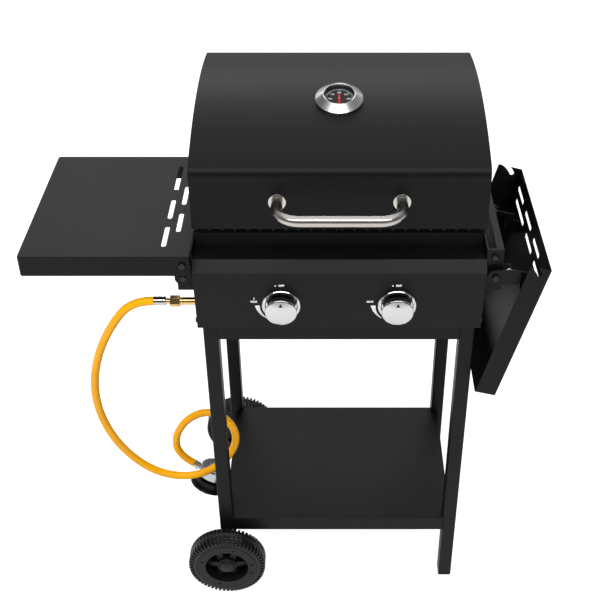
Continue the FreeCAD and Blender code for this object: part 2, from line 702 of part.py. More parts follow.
def gas_line():
    right_end = KNOB_X + VALVE_R + MANIFOLD_END
    left_end = -PANEL_HALF_X + SHEET + 12.0
    pipe_body = rod((left_end, MANIFOLD_Y, GAS_Z), (1, 0, 0), MANIFOLD_R, right_end - left_end)
    block = box(left_end - 10, left_end + 8, GAS_Y - 9, MANIFOLD_Y + 9, GAS_Z - 10, GAS_Z + 10)
    socket = rod((left_end - 12, GAS_Y, GAS_Z), (1, 0, 0), INLET_R, 12)
    NODES["gas_manifold"] = join([pipe_body, block]).cut(socket)
    inlet_start = left_end
    tube = rod((inlet_start, GAS_Y, GAS_Z), (-1, 0, 0), INLET_R, inlet_start - INLET_END_X)
    nut = hexagon((INLET_END_X, GAS_Y, GAS_Z), (-1, 0, 0), HEX_FLATS, HEX_LEN)
    neck = rod((INLET_END_X - HEX_LEN, GAS_Y, GAS_Z), (-1, 0, 0), NECK_R, NECK_LEN + 4)
    NODES["gas_inlet_fitting"] = join([tube, nut, neck])


# ---------------------------------------------------------------- side rails
def channel(x0, x1, y0, y1):
    """Downward-open box of the side rail between two ends."""
    low, top = SIDE_RAIL_BOTTOM_Z, SIDE_RAIL_TOP_Z
    outer = box(x0, x1, y0, y1, low, top)
    return outer, box(x0 + SHEET, x1 - SHEET, y0 + SHEET, y1 - SHEET, low - 1, top - SHEET)


def side_rail(rear_outer_x):
    front, front_hollow = channel(BOX_HALF_X, SIDE_RAIL_X, SIDE_RAIL_FRONT_Y, SIDE_RAIL_NOTCH_Y)
    rear, rear_hollow = channel(BOX_HALF_X, rear_outer_x, SIDE_RAIL_NOTCH_Y - 2 * SHEET, SIDE_RAIL_BACK_Y)
    slot = box(RAIL_SLOT_X, RAIL_SLOT_X + RAIL_SLOT_W, SIDE_RAIL_FRONT_Y + 4, SIDE_RAIL_BACK_Y - 12,
               SIDE_RAIL_TOP_Z - SHEET - 1, SIDE_RAIL_TOP_Z + 1)
    through = box(BOX_HALF_X + SHEET, rear_outer_x - SHEET, SIDE_RAIL_NOTCH_Y - 4 * SHEET,
                  SIDE_RAIL_NOTCH_Y + 4 * SHEET, SIDE_RAIL_BOTTOM_Z - 1, SIDE_RAIL_TOP_Z - SHEET)
    shell = join([front, rear]).cut(front_hollow).cut(rear_hollow).cut(slot).cut(through)
    holes = []
    for x, z in ((HOOK_X, HOOK_Z), (LATCH_X, LATCH_Z)):
        holes.append(rod((x, SIDE_RAIL_FRONT_Y - 1, z), (0, 1, 0), HOOK_PIN_R, SHEET + 2))
    holes.append(rod((min(HOOK_X, rear_outer_x - 5), SIDE_RAIL_BACK_Y - SHEET - 1, HOOK_Z), (0, 1, 0),
                     HOOK_PIN_R, SHEET + 2))
    return shell.cut(group(holes)).removeSplitter()


def hook_screw(side, from_front, long_one, rear_x):
    """Screw that the table's hook rests on: long where the table is in use."""
    face = SIDE_RAIL_FRONT_Y if from_front else SIDE_RAIL_BACK_Y
    out = -1 if from_front else 1
    table_face = TABLE_FRONT_Y if from_front else TABLE_BACK_Y
    seat = table_face + out * PART_GAP if long_one else face
    x = side * (HOOK_X if from_front else rear_x)
    inside = face - out * (SHEET + 3.0)
    return screw((x, seat, HOOK_Z), (0, -out, 0), HOOK_PIN_R, abs(seat - inside), HEAD_R, HEAD_H)


def latch_screw(side):
    """Shouldered screw on which the latch plate turns."""
    x, face = side * LATCH_X, SIDE_RAIL_FRONT_Y
    back = face - LATCH_GAP
    front = back - LATCH_T
    bush = rod((x, face, LATCH_Z), (0, -1, 0), HOOK_PIN_R + 3.5, LATCH_GAP - PART_GAP)
    pin = screw((x, front - PART_GAP, LATCH_Z), (0, 1, 0), HOOK_PIN_R,
                abs(front - PART_GAP - face) + SHEET + 3.0, HEAD_R, HEAD_H)
    return join([bush, pin])


def latch_plate(side, slotted):
    """Plate standing up from its screw; the slotted one lets the long hook screw in from the inside."""
    half = LATCH_W / 2
    low, high = LATCH_Z - LATCH_INNER_END, LATCH_Z - LATCH_INNER_END + LATCH_LEN
    back = SIDE_RAIL_FRONT_Y - LATCH_GAP
    plate = box(LATCH_X - half, LATCH_X + half, back - LATCH_T, back, low, high)
    plate = round_edges(plate, LATCH_CORNER_R, lambda e: runs_along(e, 1))
    at = (LATCH_X, back - LATCH_T - 1, LATCH_Z)
    plate = plate.cut(rod(at, (0, 1, 0), HOOK_PIN_R + PIN_GAP, LATCH_T + 2))
    if slotted:
        hook_reach = math.hypot(HOOK_X - LATCH_X, HOOK_Z - LATCH_Z)
        r = LATCH_SLOT_W / 2
        band = ring(at, (0, 1, 0), hook_reach + r, hook_reach - r, LATCH_T + 2)
        sector = box(LATCH_X - half - 5, HOOK_X, at[1], back + 1, LATCH_Z, high)
        round_end = rod((HOOK_X, at[1], HOOK_Z), (0, 1, 0), r, LATCH_T + 2)
        plate = plate.cut(band.common(sector)).cut(round_end)
    return plate if side > 0 else mirrored(plate)


# ---------------------------------------------------------------- side tables
def hook_slot(y0, y1):
    """Arc slot about the pivot: from the resting hook screw out of the lower inner corner."""
    reach = math.hypot(HOOK_X - PIVOT_X, HOOK_Z - PIVOT_Z)
    r = HOOK_SLOT_W / 2
    at = (PIVOT_X, y0, PIVOT_Z)
    band = ring(at, (0, 1, 0), reach + r, reach - r, y1 - y0)
    sector = box(TABLE_IN_X - 12, HOOK_X, y0, y1, PIVOT_Z, HOOK_Z + 2 * r)
    angle = math.atan2(HOOK_Z - PIVOT_Z, HOOK_X - PIVOT_X)
    normal = V(math.cos(angle), 0, math.sin(angle))
    past = V(math.sin(angle), 0, -math.cos(angle))
    screw_at = V(HOOK_X, y0, HOOK_Z)
    beyond = prism([screw_at + normal * reach, screw_at - normal * reach,
                    screw_at - normal * reach + past * reach, screw_at + normal * reach + past * reach],
                   V(0, y1 - y0, 0))
    tip = rod((HOOK_X, y0, HOOK_Z), (0, 1, 0), r, y1 - y0)
    return band.common(sector).cut(beyond).fuse(tip)


def side_table():
    """Right-hand table in its working place: pressed tray, hooks, slots and hinge ears."""
    low = TABLE_TOP_Z - TABLE_FLANGE
    wall = THIN_SHEET
    outer = box(TABLE_IN_X, TABLE_OUT_X, TABLE_FRONT_Y, TABLE_BACK_Y, low, TABLE_TOP_Z)
    outer = round_edges(outer, TABLE_CORNER_R,
                        lambda e: runs_along(e, 2) and e.CenterOfMass.x > TABLE_OUT_X - 1)
    outer = round_edges(outer, TABLE_EDGE_R,
                        lambda e: abs(e.CenterOfMass.z - TABLE_TOP_Z) < 1e-6
                        and e.CenterOfMass.x > TABLE_IN_X + 1)
    inner = box(TABLE_IN_X - 1, TABLE_OUT_X - wall, TABLE_FRONT_Y + wall, TABLE_BACK_Y - wall,
                low - 1, TABLE_TOP_Z - wall)
    inner = round_edges(inner, TABLE_CORNER_R - wall,
                        lambda e: runs_along(e, 2) and e.CenterOfMass.x > TABLE_OUT_X - 9)
    tray = outer.cut(inner)
    deep = box(TABLE_IN_X, TABLE_OUT_X - TABLE_DEEP_END, TABLE_BACK_Y - wall, TABLE_BACK_Y,
               TABLE_TOP_Z - TABLE_BACK_FLANGE, low + 1)
    tray = tray.fuse(deep).removeSplitter()
    cuts = []
    for row, slots in ((UTENSIL_ROW_OUT, UTENSIL_SLOTS_OUT), (UTENSIL_ROW_IN, UTENSIL_SLOTS_IN)):
        for near, far in slots:
            cuts.append(slot_z(row, TABLE_FRONT_Y + near, TABLE_FRONT_Y + far, UTENSIL_SLOT_W,
                               TABLE_TOP_Z - wall - 1, TABLE_TOP_Z + 1))
    cuts.append(hook_slot(TABLE_FRONT_Y - 1, TABLE_FRONT_Y + wall + 1))
    cuts.append(hook_slot(TABLE_BACK_Y - wall - 1, TABLE_BACK_Y + 1))
    tray = tray.cut(group(cuts))
    ears = [table_ear(y + EAR_T + 0.5) for y in (FRONT_EAR_Y, REAR_EAR_Y)]
    return join([tray] + ears)


def table_ear(y):
    """Ear hanging under the table, from the sheet down to the pivot pin."""
    top = TABLE_TOP_Z - THIN_SHEET / 2
    inner_x = UTENSIL_ROW_OUT + UTENSIL_SLOT_W / 2 + 4.5
    neck_in, neck_out = PIVOT_X + 1.0, PIVOT_X + PIVOT_EAR_R
    neck_top = top - EAR_NECK_GAP
    web = xz_prism([(neck_in, PIVOT_Z), (neck_in, neck_top), (inner_x, neck_top), (inner_x, top),
                    (inner_x + EAR_W, top), (inner_x + EAR_W, neck_top - EAR_NECK_H / 2),
                    (neck_out, neck_top - EAR_NECK_H), (neck_out, PIVOT_Z)], y, y + EAR_T)
    boss = rod((PIVOT_X, y, PIVOT_Z), (0, 1, 0), PIVOT_EAR_R, EAR_T)
    hole = rod((PIVOT_X, y - 1, PIVOT_Z), (0, 1, 0), PIVOT_PIN_R + PIN_GAP, EAR_T + 2)
    return join([web, boss]).cut(hole)


def rail_bracket(y, wall_x):
    """Ear on the side rail that holds the pivot pin."""
    web = xz_prism([(wall_x, PIVOT_Z - 14), (PIVOT_X, PIVOT_Z - PIVOT_EAR_R + 1), (PIVOT_X, PIVOT_Z + 7),
                    (wall_x, PIVOT_Z + 14)], y, y + EAR_T)
    boss = rod((PIVOT_X, y, PIVOT_Z), (0, 1, 0), PIVOT_EAR_R - 1, EAR_T)
    base = box(wall_x, wall_x + 2, y - 12, y + EAR_T, PIVOT_Z - 16, PIVOT_Z + 16)
    hole = rod((PIVOT_X, y - 1, PIVOT_Z), (0, 1, 0), PIVOT_PIN_R, EAR_T + 2)
    return join([web, boss, base]).cut(hole)


def pivot_pin(y):
    length = 2 * EAR_T + 0.5 + PART_GAP
    shank = rod((PIVOT_X, y - 2.0, PIVOT_Z), (0, 1, 0), PIVOT_PIN_R, length + 2.0 + 2.0)
    heads = [rod((PIVOT_X, y - 2.0, PIVOT_Z), (0, 1, 0), PIVOT_PIN_R + 1.5, 2.0),
             rod((PIVOT_X, y + length, PIVOT_Z), (0, 1, 0), PIVOT_PIN_R + 1.5, 2.0)]
    return join([shank] + heads)


def tables():
    rear_x = {-1: SIDE_RAIL_NOTCH_X, 1: SIDE_RAIL_X}
    brackets, pins, screws = [], [], []
    for side, name in ((-1, "left"), (1, "right")):
        rail = side_rail(rear_x[side])
        table = side_table()
        ears = [rail_bracket(FRONT_EAR_Y, SIDE_RAIL_X), rail_bracket(REAR_EAR_Y, rear_x[side])]
        own_pins = [pivot_pin(FRONT_EAR_Y), pivot_pin(REAR_EAR_Y)]
        if side < 0:
            rail, table = mirrored(rail), mirrored(table)
            ears, own_pins = [mirrored(s) for s in ears], [mirrored(s) for s in own_pins]
        else:
            table = turned(table, (PIVOT_X, 0, PIVOT_Z), (0, 1, 0), RIGHT_FOLD_DEG)
        NODES["side_rail_" + name] = rail
        NODES["side_table_" + name] = table
        brackets += ears
        pins += own_pins
        long_one = side < 0
        rear_hook_x = min(HOOK_X, rear_x[side] - 5)
        screws += [hook_screw(side, True, long_one, rear_hook_x),
                   hook_screw(side, False, long_one, rear_hook_x), latch_screw(side)]
    NODES["latch_left"] = latch_plate(-1, True)
    upright = latch_plate(1, False)
    NODES["latch_right"] = turned(upright, (LATCH_X, 0, LATCH_Z), (0, 1, 0), 90)
    NODES["table_hinge_brackets"] = group(brackets)
    NODES["table_hinge_pins"] = group(pins)
    for side in (-1, 1):
        screws.append(screw(leg_screw_hole(side), (0, 1, 0), 3.0, LEG_D + SHEET + 5, 6.0, 3.8))
        screws.append(screw(panel_screw_seat(side), (-side, 0, 0), PANEL_SCREW_R, SHEET + 3.0, 4.5, 3.0))
    NODES["frame_screws"] = group(screws)


# ---------------------------------------------------------------- lid
def lid_arch():
    """Centre and radius of the circle through the lid's bend, crown and back edge."""
    y1, z1, y2, z2 = LID_BEND_Y, LID_BEND_Z, LID_CROWN_Y, LID_CROWN_Z
    y3, z3 = LID_BACK_Y, LID_BACK_TOP_Z
    double_area = 2 * (y1 * (z2 - z3) + y2 * (z3 - z1) + y3 * (z1 - z2))
    s1, s2, s3 = y1 ** 2 + z1 ** 2, y2 ** 2 + z2 ** 2, y3 ** 2 + z3 ** 2
    y = (s1 * (z2 - z3) + s2 * (z3 - z1) + s3 * (z1 - z2)) / double_area
    z = (s1 * (y3 - y2) + s2 * (y1 - y3) + s3 * (y2 - y1)) / double_area
    return V(0, y, z), math.hypot(y - y1, z - z1)


def lid_section(grow, x0, x1, floor_z):
    """Solid under the lid's skin: straight front, shallow arch, upright back."""
    centre, radius = lid_arch()
    radius -= grow
    front_y = LID_LIP_Y + grow / math.cos(LID_LEAN)
    lean = math.tan(LID_LEAN)
    # meet of the leaning front with the arch
    z = LID_BEND_Z
    for _ in range(20):
        y = front_y + (z - LID_LIP_Z) * lean
        z = centre.z + math.sqrt(radius ** 2 - (y - centre.y) ** 2)
    back_y = LID_BACK_Y - grow
    back_z = centre.z + math.sqrt(radius ** 2 - (back_y - centre.y) ** 2)
    floor_y = front_y + (floor_z - LID_LIP_Z) * lean
    a, b = V(x0, floor_y, floor_z), V(x0, y, z)
    c, d = V(x0, back_y, back_z), V(x0, back_y, floor_z)
    top = V(x0, centre.y, centre.z + radius)
    edges = [Part.LineSegment(a, b).toShape(), Part.Arc(b, top, c).toShape(),
             Part.LineSegment(c, d).toShape(), Part.LineSegment(d, a).toShape()]
    solid = Part.Face(Part.Wire(edges)).extrude(V(x1 - x0, 0, 0))
    solid = round_edges(solid, LID_BEND_R - grow,
                        lambda e: runs_along(e, 0) and e.CenterOfMass.sub(V((x0 + x1) / 2, y, z)).Length < 0.5)
    return round_edges(solid, LID_BACK_R - grow,
                       lambda e: runs_along(e, 0)
                       and e.CenterOfMass.sub(V((x0 + x1) / 2, back_y, back_z)).Length < 0.5)


def lid():
    outer = lid_section(0, -LID_HALF_X, LID_HALF_X, LID_LIP_Z)
    inner = lid_section(SHEET, -LID_HALF_X - 1, LID_HALF_X + 1, LID_LIP_Z - 5)
    skin = outer.cut(inner)
    end_out = LID_HALF_X - LID_END_INSET
    plate = lid_section(SHEET, end_out - SHEET, end_out, LID_LIP_Z)
    flange = lid_section(SHEET, end_out - 12, end_out - SHEET / 2, LID_LIP_Z)
    flange = flange.cut(lid_section(2 * SHEET, end_out - 13, end_out + 1, LID_LIP_Z - 5))
    end_plate = join([plate, flange])
    thermo_at, thermo_up = thermometer_frame()
    hole = Part.makeCylinder(THERMO_STEM_R + 1.0, 2 * STEM_HOLE_REACH,
                             thermo_at - thermo_up * STEM_HOLE_REACH, thermo_up)
    skin = skin.cut(hole)
    for side in (-1, 1):
        start, out = handle_seat(side)
        skin = skin.cut(Part.makeCylinder(3.2, 12, start - out * 6, out))
    NODES["lid_skin"] = skin
    NODES["lid_end_panels"] = group([end_plate, mirrored(end_plate)])


def handle_seat(side):
    out = V(0, -math.cos(LID_LEAN), math.sin(LID_LEAN))
    return V(side * HANDLE_HALF_X, LID_FACE_Y, HANDLE_Z), out


def lid_handle():
    left, out = handle_seat(-1)
    right = handle_seat(1)[0]
    base = left + out * WASHER_H
    ends = [base, left + out * HANDLE_REACH, right + out * HANDLE_REACH, right + out * WASHER_H]
    edges, radii = bent_bar(ends, HANDLE_BEND_R)
    wire = Part.Wire(edges)
    outer = wire.makePipeShell([Part.Wire(Part.makeCircle(HANDLE_R, base, out))], True, False)
    inner = wire.makePipeShell([Part.Wire(Part.makeCircle(HANDLE_R - HANDLE_WALL, base, out))], True, False)
    bar = outer.cut(inner)
    plugs = []
    rings = []
    for side in (-1, 1):
        seat, out = handle_seat(side)
        plug = Part.makeCylinder(HANDLE_R - HANDLE_WALL, 10, seat + out * WASHER_H, out)
        bolt_hole = Part.makeCylinder(3.0, 2 * HANDLE_REACH, seat - out * HANDLE_REACH, out)
        plugs.append(plug.cut(bolt_hole))
        rings.append(ring(seat, out, WASHER_R, 3.0, WASHER_H))
        bolt = screw(seat - out * SHEET, out, 3.0, SHEET + WASHER_H + 9, 6.5, 4)
        rings.append(bolt)
    NODES["lid_handle"] = join([bar] + plugs)
    NODES["lid_handle_fixings"] = group(rings)


def bent_bar(points, radius):
    """Straight runs joined by tangent bends of one radius."""
    edges, start = [], points[0]
    for i in range(1, len(points) - 1):
        back = points[i - 1] - points[i]
        ahead = points[i + 1] - points[i]
        back.normalize()
        ahead.normalize()
        half_turn = (math.pi - back.getAngle(ahead)) / 2
        reach = radius * math.tan(half_turn)
        bisector = back + ahead
        bisector.normalize()
        middle = points[i] + bisector * (radius / math.cos(half_turn) - radius)
        edges.append(Part.LineSegment(start, points[i] + back * reach).toShape())
        edges.append(Part.Arc(points[i] + back * reach, middle, points[i] + ahead * reach).toShape())
        start = points[i] + ahead * reach
    edges.append(Part.LineSegment(start, points[-1]).toShape())
    return edges, radius


# ---------------------------------------------------------------- thermometer
def thermometer_frame():
    centre, radius = lid_arch()
    z = centre.z + math.sqrt(radius ** 2 - (THERMO_Y - centre.y) ** 2)
    tilt = math.radians(THERMO_TILT)
    return V(0, THERMO_Y, z), V(0, -math.sin(tilt), math.cos(tilt))


def thermometer():
    at, up = thermometer_frame()
    floor = 4.0
    case = lathe([(0, -9), (THERMO_R, -9), (THERMO_R, THERMO_RIM_H), (DIAL_R + 3.0, THERMO_H - 1),
                  (DIAL_R + 1.5, THERMO_H), (DIAL_R, THERMO_H - 0.6), (DIAL_R, floor), (0, floor)], at, up)
    hollow = lid_section(0, -THERMO_R - 5, THERMO_R + 5, LID_LIP_Z)
    case = case.cut(hollow)
    stem = Part.makeCylinder(THERMO_STEM_R, THERMO_STEM_LEN + floor - 1, at - up * THERMO_STEM_LEN, up)
    nut = hexagon(at - up * (SHEET + 9.0), up, 14.0, 6.0)
    stem_hole = Part.makeCylinder(THERMO_STEM_R, 2 * STEM_HOLE_REACH, at - up * STEM_HOLE_REACH, up)
    nut = nut.cut(stem_hole)
    skin_inside = lid_section(SHEET, -20, 20, LID_LIP_Z)
    seat = Part.makeCylinder(11.0, 14.0, at - up * (SHEET + 9.0), up).common(skin_inside)
    seat = seat.cut(stem_hole)
    case = case.fuse(stem)
    pin_r = 1.2
    dial_t = 0.8
    pin = Part.makeCylinder(pin_r, 3.6, at + up * (floor - 0.5), up)
    NODES["thermometer_case"] = join([case, pin])
    NODES["thermometer_nut"] = join([nut, seat])
    NODES["thermometer_dial"] = ring(at + up * floor, up, DIAL_R - 0.1, pin_r, dial_t)
    glass_z = THERMO_H - 3.0
    NODES["thermometer_glass"] = Part.makeCylinder(DIAL_R, 1.2, at + up * glass_z, up)
    hub_low = floor + dial_t + PART_GAP
    hub = ring(at + up * hub_low, up, 3.0, pin_r + PIN_GAP, 1.6)
    forward = V(0, -up.z, up.y)
    across = V(1, 0, 0)
    blade_z = hub_low + 0.4
    base = at + up * blade_z
    tail, tip = base + forward * NEEDLE_TAIL, base - forward * NEEDLE_TIP
    # the blade points to the top of the dial, away from the front of the lid
    blade = prism([tail - across * 1.4, tail + across * 1.4, tip + across * 0.5, tip - across * 0.5], up * 0.8)
    bore = Part.makeCylinder(pin_r + PIN_GAP, 10, base - up * 3, up)
    NODES["thermometer_needle"] = join([hub, blade.cut(bore)])


def lid_hinges():
    lower, upper = [], []
    third = HINGE_W / 3
    for side in (-1, 1):
        x0 = side * HINGE_X - HINGE_W / 2
        axis = (HINGE_Y, HINGE_Z)
        leaf_y = BOX_BACK_Y
        leaf = box(x0, x0 + HINGE_W, leaf_y, leaf_y + HINGE_LEAF,
                   HINGE_Z - HINGE_R - HINGE_LEAF_H, HINGE_Z - HINGE_R - 1.0)
        arm = box(x0 + third + PART_GAP, x0 + 2 * third - PART_GAP, leaf_y, axis[0] + 1,
                  HINGE_Z - HINGE_R - 3.0, HINGE_Z - HINGE_R + 1.5)
        knuckle = rod((x0 + third + PART_GAP, axis[0], axis[1]), (1, 0, 0), HINGE_R, third - 2 * PART_GAP)
        bore = rod((x0 - 1, axis[0], axis[1]), (1, 0, 0), HINGE_PIN_R, HINGE_W + 2)
        lower.append(join([leaf, arm, knuckle]).cut(bore))
        pin = rod((x0 - 1.5, axis[0], axis[1]), (1, 0, 0), HINGE_PIN_R, HINGE_W + 3)
        lower.append(pin)
        loose_bore = rod((x0 - 2, axis[0], axis[1]), (1, 0, 0), HINGE_PIN_R + PIN_GAP, HINGE_W + 4)
        plate = box(x0, x0 + HINGE_W, LID_BACK_Y, LID_BACK_Y + HINGE_LEAF,
                    HINGE_Z + HINGE_R + 0.5, HINGE_Z + HINGE_R + HINGE_LEAF_H)
        ends = []
        for k in (0, 2):
            k0 = x0 + k * third
            ends.append(rod((k0, axis[0], axis[1]), (1, 0, 0), HINGE_R, third))
            ends.append(box(k0, k0 + third, LID_BACK_Y, axis[0], HINGE_Z + HINGE_R - 2.0, HINGE_Z + HINGE_R + 1.0))
        upper.append(join([plate] + ends).cut(loose_bore))
    NODES["lid_hinge_lower"] = group(lower)
    NODES["lid_hinge_upper"] = group(upper)


# ---------------------------------------------------------------- wheels
def wheel(side, name):
    """side -1: in front of the front leg, +1: behind the rear leg; outer face looks away."""
    leg_face = FRONT_LEG_Y if side < 0 else REAR_LEG_BACK_Y
    inner_y = leg_face + side * WHEEL_GAP
    at, out = (AXLE_X, inner_y, AXLE_Z), (0, side, 0)
    w = WHEEL_W
    tyre = lathe([(TYRE_INNER_R, 0), (WHEEL_R - 4, 0), (WHEEL_R - 1, 2), (WHEEL_R, 6),
                  (WHEEL_R, w - 6), (WHEEL_R - 1, w - 2), (WHEEL_R - 4, w), (TYRE_INNER_R, w)], at, out)
    bore = AXLE_R + PIN_GAP
    web_low, web_high = 0.30 * w, 0.55 * w
    rim = lathe([(HUB_WELL_R, 1), (TYRE_INNER_R, 1), (TYRE_INNER_R, w), (HUB_WELL_R, w)], at, out)
    boss = lathe([(bore, 0), (HUB_R, 0), (HUB_R, w - 6), (bore, w - 6)], at, out)
    spokes = []
    d = V(*out)
    for i in range(SPOKES):
        a = math.radians(360 / SPOKES * i)
        spoke = box(HUB_R - 2, HUB_WELL_R + 2, -6, 6, web_low, web_high)
        spoke.rotate(V(0, 0, 0), V(0, 0, 1), math.degrees(a))
        spoke.Placement = FreeCAD.Placement(V(*at), FreeCAD.Rotation(V(1, 0, 0), V(1, 0, 0), d, "ZXY")
                                            ).multiply(spoke.Placement)
        spokes.append(spoke)
    hub = join([rim, boss] + spokes)
    holes = []
    for angle in HUB_HOLE_ANGLES:
        a = math.radians(angle)
        r = (HUB_WELL_R + TYRE_INNER_R) / 2
        holes.append(rod((at[0] + r * math.cos(a), inner_y + side * (w - 6), at[2] + r * math.sin(a)),
                         (0, side, 0), 2.2, 8))
    hub = hub.cut(group(holes))
    cap_at = (AXLE_X, inner_y + side * (w - 6), AXLE_Z)
    cap = lathe([(AXLE_R + 2.5, 0), (HUB_CAP_R, 0), (HUB_CAP_R, 2.5), (HUB_CAP_R * 0.8, 5), (HUB_CAP_R * 0.4, 6.6),
                 (0, 7), (0, 5.4), (AXLE_R + 2.5, 5.0)], cap_at, out)
    NODES["wheel_%s_tyre" % name] = tyre
    NODES["wheel_%s_hub" % name] = hub
    NODES["wheel_%s_cap" % name] = cap


def wheels():
    wheel(-1, "front")
    wheel(1, "rear")
    end = WHEEL_GAP + WHEEL_W - 6.0
    front_end, rear_end = FRONT_LEG_Y - end - 3.5, REAR_LEG_BACK_Y + end + 3.5
    shaft = rod((AXLE_X, front_end, AXLE_Z), (0, 1, 0), AXLE_R, rear_end - front_end)
    collars = []
    for y, side in ((FRONT_LEG_Y, -1), (REAR_LEG_BACK_Y, 1)):
        collars.append(rod((AXLE_X, y, AXLE_Z), (0, side, 0), AXLE_R + 4, WHEEL_GAP - PART_GAP))
        collars.append(rod((AXLE_X, y + side * (end + PART_GAP), AXLE_Z), (0, side, 0), AXLE_R + 2, 3.0))
    NODES["wheel_axle"] = join([shaft] + collars)


# ---------------------------------------------------------------- hose and regulator
def unit(vector):
    copy = V(vector)
    copy.normalize()
    return copy


def hose_and_regulator():
    axis = unit(REG_AXIS)
    arm = unit(REG_ARM)
    hub = REG_AT + axis * REG_ARM_AT
    low, top, r = REG_BODY_LOW, REG_BODY_LOW + REG_BODY_H, REG_BODY_R
    body = lathe([(0, low), (r - 5, low), (r, low + 4), (r, top - 2), (r - 2, top), (REG_CAP_R + 1, top + 1),
                  (REG_CAP_R, top + REG_CAP_H - 1), (0, top + REG_CAP_H)], REG_AT, axis)
    neck_low = GRIP_H
    neck = Part.makeCylinder(REG_NECK_R, low + 2 - neck_low, REG_AT + axis * neck_low, axis)
    spigot = Part.makeCylinder(REG_SPIGOT_R, REG_SPIGOT_LEN, hub, arm)
    NODES["regulator_body"] = join([body, neck, spigot])

    grip = lathe([(0, 0), (GRIP_RIM_R - 1, 0), (GRIP_RIM_R, 1), (GRIP_RIM_R, GRIP_RIM_H - 1),
                  (GRIP_RIM_R - 1, GRIP_RIM_H), (GRIP_R, GRIP_RIM_H), (GRIP_R - 1, GRIP_H - 1),
                  (GRIP_R - 2, GRIP_H), (0, GRIP_H)], REG_AT, axis)
    side = unit(axis.cross(V(0, 1, 0)))
    other = axis.cross(side)
    flutes = []
    for i in range(GRIP_FLUTES):
        a = 2 * math.pi * i / GRIP_FLUTES
        at = REG_AT - axis + (side * math.cos(a) + other * math.sin(a)) * (GRIP_RIM_R + GRIP_FLUTE_R / 2)
        flutes.append(Part.makeCylinder(GRIP_FLUTE_R, GRIP_RIM_H + 2, at, axis))
    NODES["regulator_hand_wheel"] = grip.cut(group(flutes))

    start = V(FERRULE_END_X, GAS_Y, GAS_Z)
    end = hub + arm * REG_SPIGOT_LEN
    middle = [tuple(start + V(*offset)) for offset in HOSE_ROUTE]
    route = [tuple(start)] + middle + [tuple(end + arm * HOSE_LAST_RUN), tuple(end)]
    hose, wire, radii = pipe(route, HOSE_D / 2)
    NODES["gas_hose"] = hose
    print("hose radii", [round(r, 1) for r in radii])
    print("hose length %.1f" % wire.Length, "volume ratio %.5f"
          % (hose.Volume / (math.pi * (HOSE_D / 2) ** 2 * wire.Length)))
    print("hose route", [tuple(round(c, 2) for c in p) for p in route])
    NODES["hose_ferrule"] = ring(start, (1, 0, 0), FERRULE_R, NECK_R, FERRULE_LEN)
    NODES["hose_end_ferrule"] = ring(end, arm * -1, FERRULE_R, REG_SPIGOT_R, END_FERRULE_LEN)


# ---------------------------------------------------------------- assemble and save
CORD_NODES = ["gas_hose", "hose_ferrule", "hose_end_ferrule", "regulator_body", "regulator_hand_wheel"]


def base_centre():
    """Middle of the base of everything but the hose and what hangs on it."""
    still = group([shape for name, shape in NODES.items() if name not in CORD_NODES])
    bound = still.optimalBoundingBox(False, False)
    return V((bound.XMin + bound.XMax) / 2, (bound.YMin + bound.YMax) / 2, bound.ZMin)


def build():
    cart_frame()
    bottom_shelf()
    firebox()
    fire_parts()
    drip_tray()
    control_panel()
    knob_parts()
    gas_line()
    tables()
    lid()
    lid_handle()
    thermometer()
    lid_hinges()
    wheels()
    hose_and_regulator()
    origin = base_centre()
    os.makedirs("parts", exist_ok=True)
    for name, shape in NODES.items():
        shape.translate(origin * -1)
        shape.exportStep("parts/" + name + ".step")
    print("origin in the cart frame", [round(c, 3) for c in origin])
    return origin


ORIGIN = build()
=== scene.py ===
import json
import math

import bmesh
import bpy
from mathutils import Matrix, Vector

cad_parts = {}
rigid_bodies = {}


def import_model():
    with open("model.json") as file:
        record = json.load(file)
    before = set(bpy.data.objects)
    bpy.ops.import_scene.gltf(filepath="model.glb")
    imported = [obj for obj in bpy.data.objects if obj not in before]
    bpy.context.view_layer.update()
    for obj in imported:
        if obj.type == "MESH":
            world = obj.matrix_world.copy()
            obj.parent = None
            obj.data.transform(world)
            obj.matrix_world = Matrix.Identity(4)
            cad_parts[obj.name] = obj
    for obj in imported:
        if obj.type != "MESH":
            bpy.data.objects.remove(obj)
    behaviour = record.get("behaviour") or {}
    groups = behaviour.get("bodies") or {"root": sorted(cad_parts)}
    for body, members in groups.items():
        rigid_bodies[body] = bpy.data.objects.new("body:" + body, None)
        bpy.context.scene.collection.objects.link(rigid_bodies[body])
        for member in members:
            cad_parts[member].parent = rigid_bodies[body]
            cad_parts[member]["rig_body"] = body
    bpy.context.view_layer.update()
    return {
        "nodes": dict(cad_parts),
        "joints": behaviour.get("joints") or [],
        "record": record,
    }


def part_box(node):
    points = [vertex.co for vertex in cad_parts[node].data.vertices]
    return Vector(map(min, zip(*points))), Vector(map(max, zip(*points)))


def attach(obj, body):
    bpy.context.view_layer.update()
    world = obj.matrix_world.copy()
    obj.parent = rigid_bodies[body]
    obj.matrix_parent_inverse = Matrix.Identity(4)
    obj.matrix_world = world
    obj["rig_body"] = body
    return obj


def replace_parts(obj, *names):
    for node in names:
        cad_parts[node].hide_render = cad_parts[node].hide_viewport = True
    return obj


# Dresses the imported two-burner gas barbecue: powder-coated sheet steel, stainless fittings,
# lugged plastic wheels, and the gas hose with its regulator. Sizes are in millimetres, and MM
# turns them into metres where something is made.

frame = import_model()
MM = 0.001
FULL_TURN = 2 * math.pi
JOINTS = {joint["name"]: joint for joint in frame["joints"]}
SLOT = {part["node"]: part["material_slot"] for part in frame["record"]["subparts"]}
ENDS = ("front", "rear")
SIDES = ("left", "right")


def middle(node):
    low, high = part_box(node)
    return (low + high) / 2


def body_of(node):
    return frame["nodes"][node]["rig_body"]


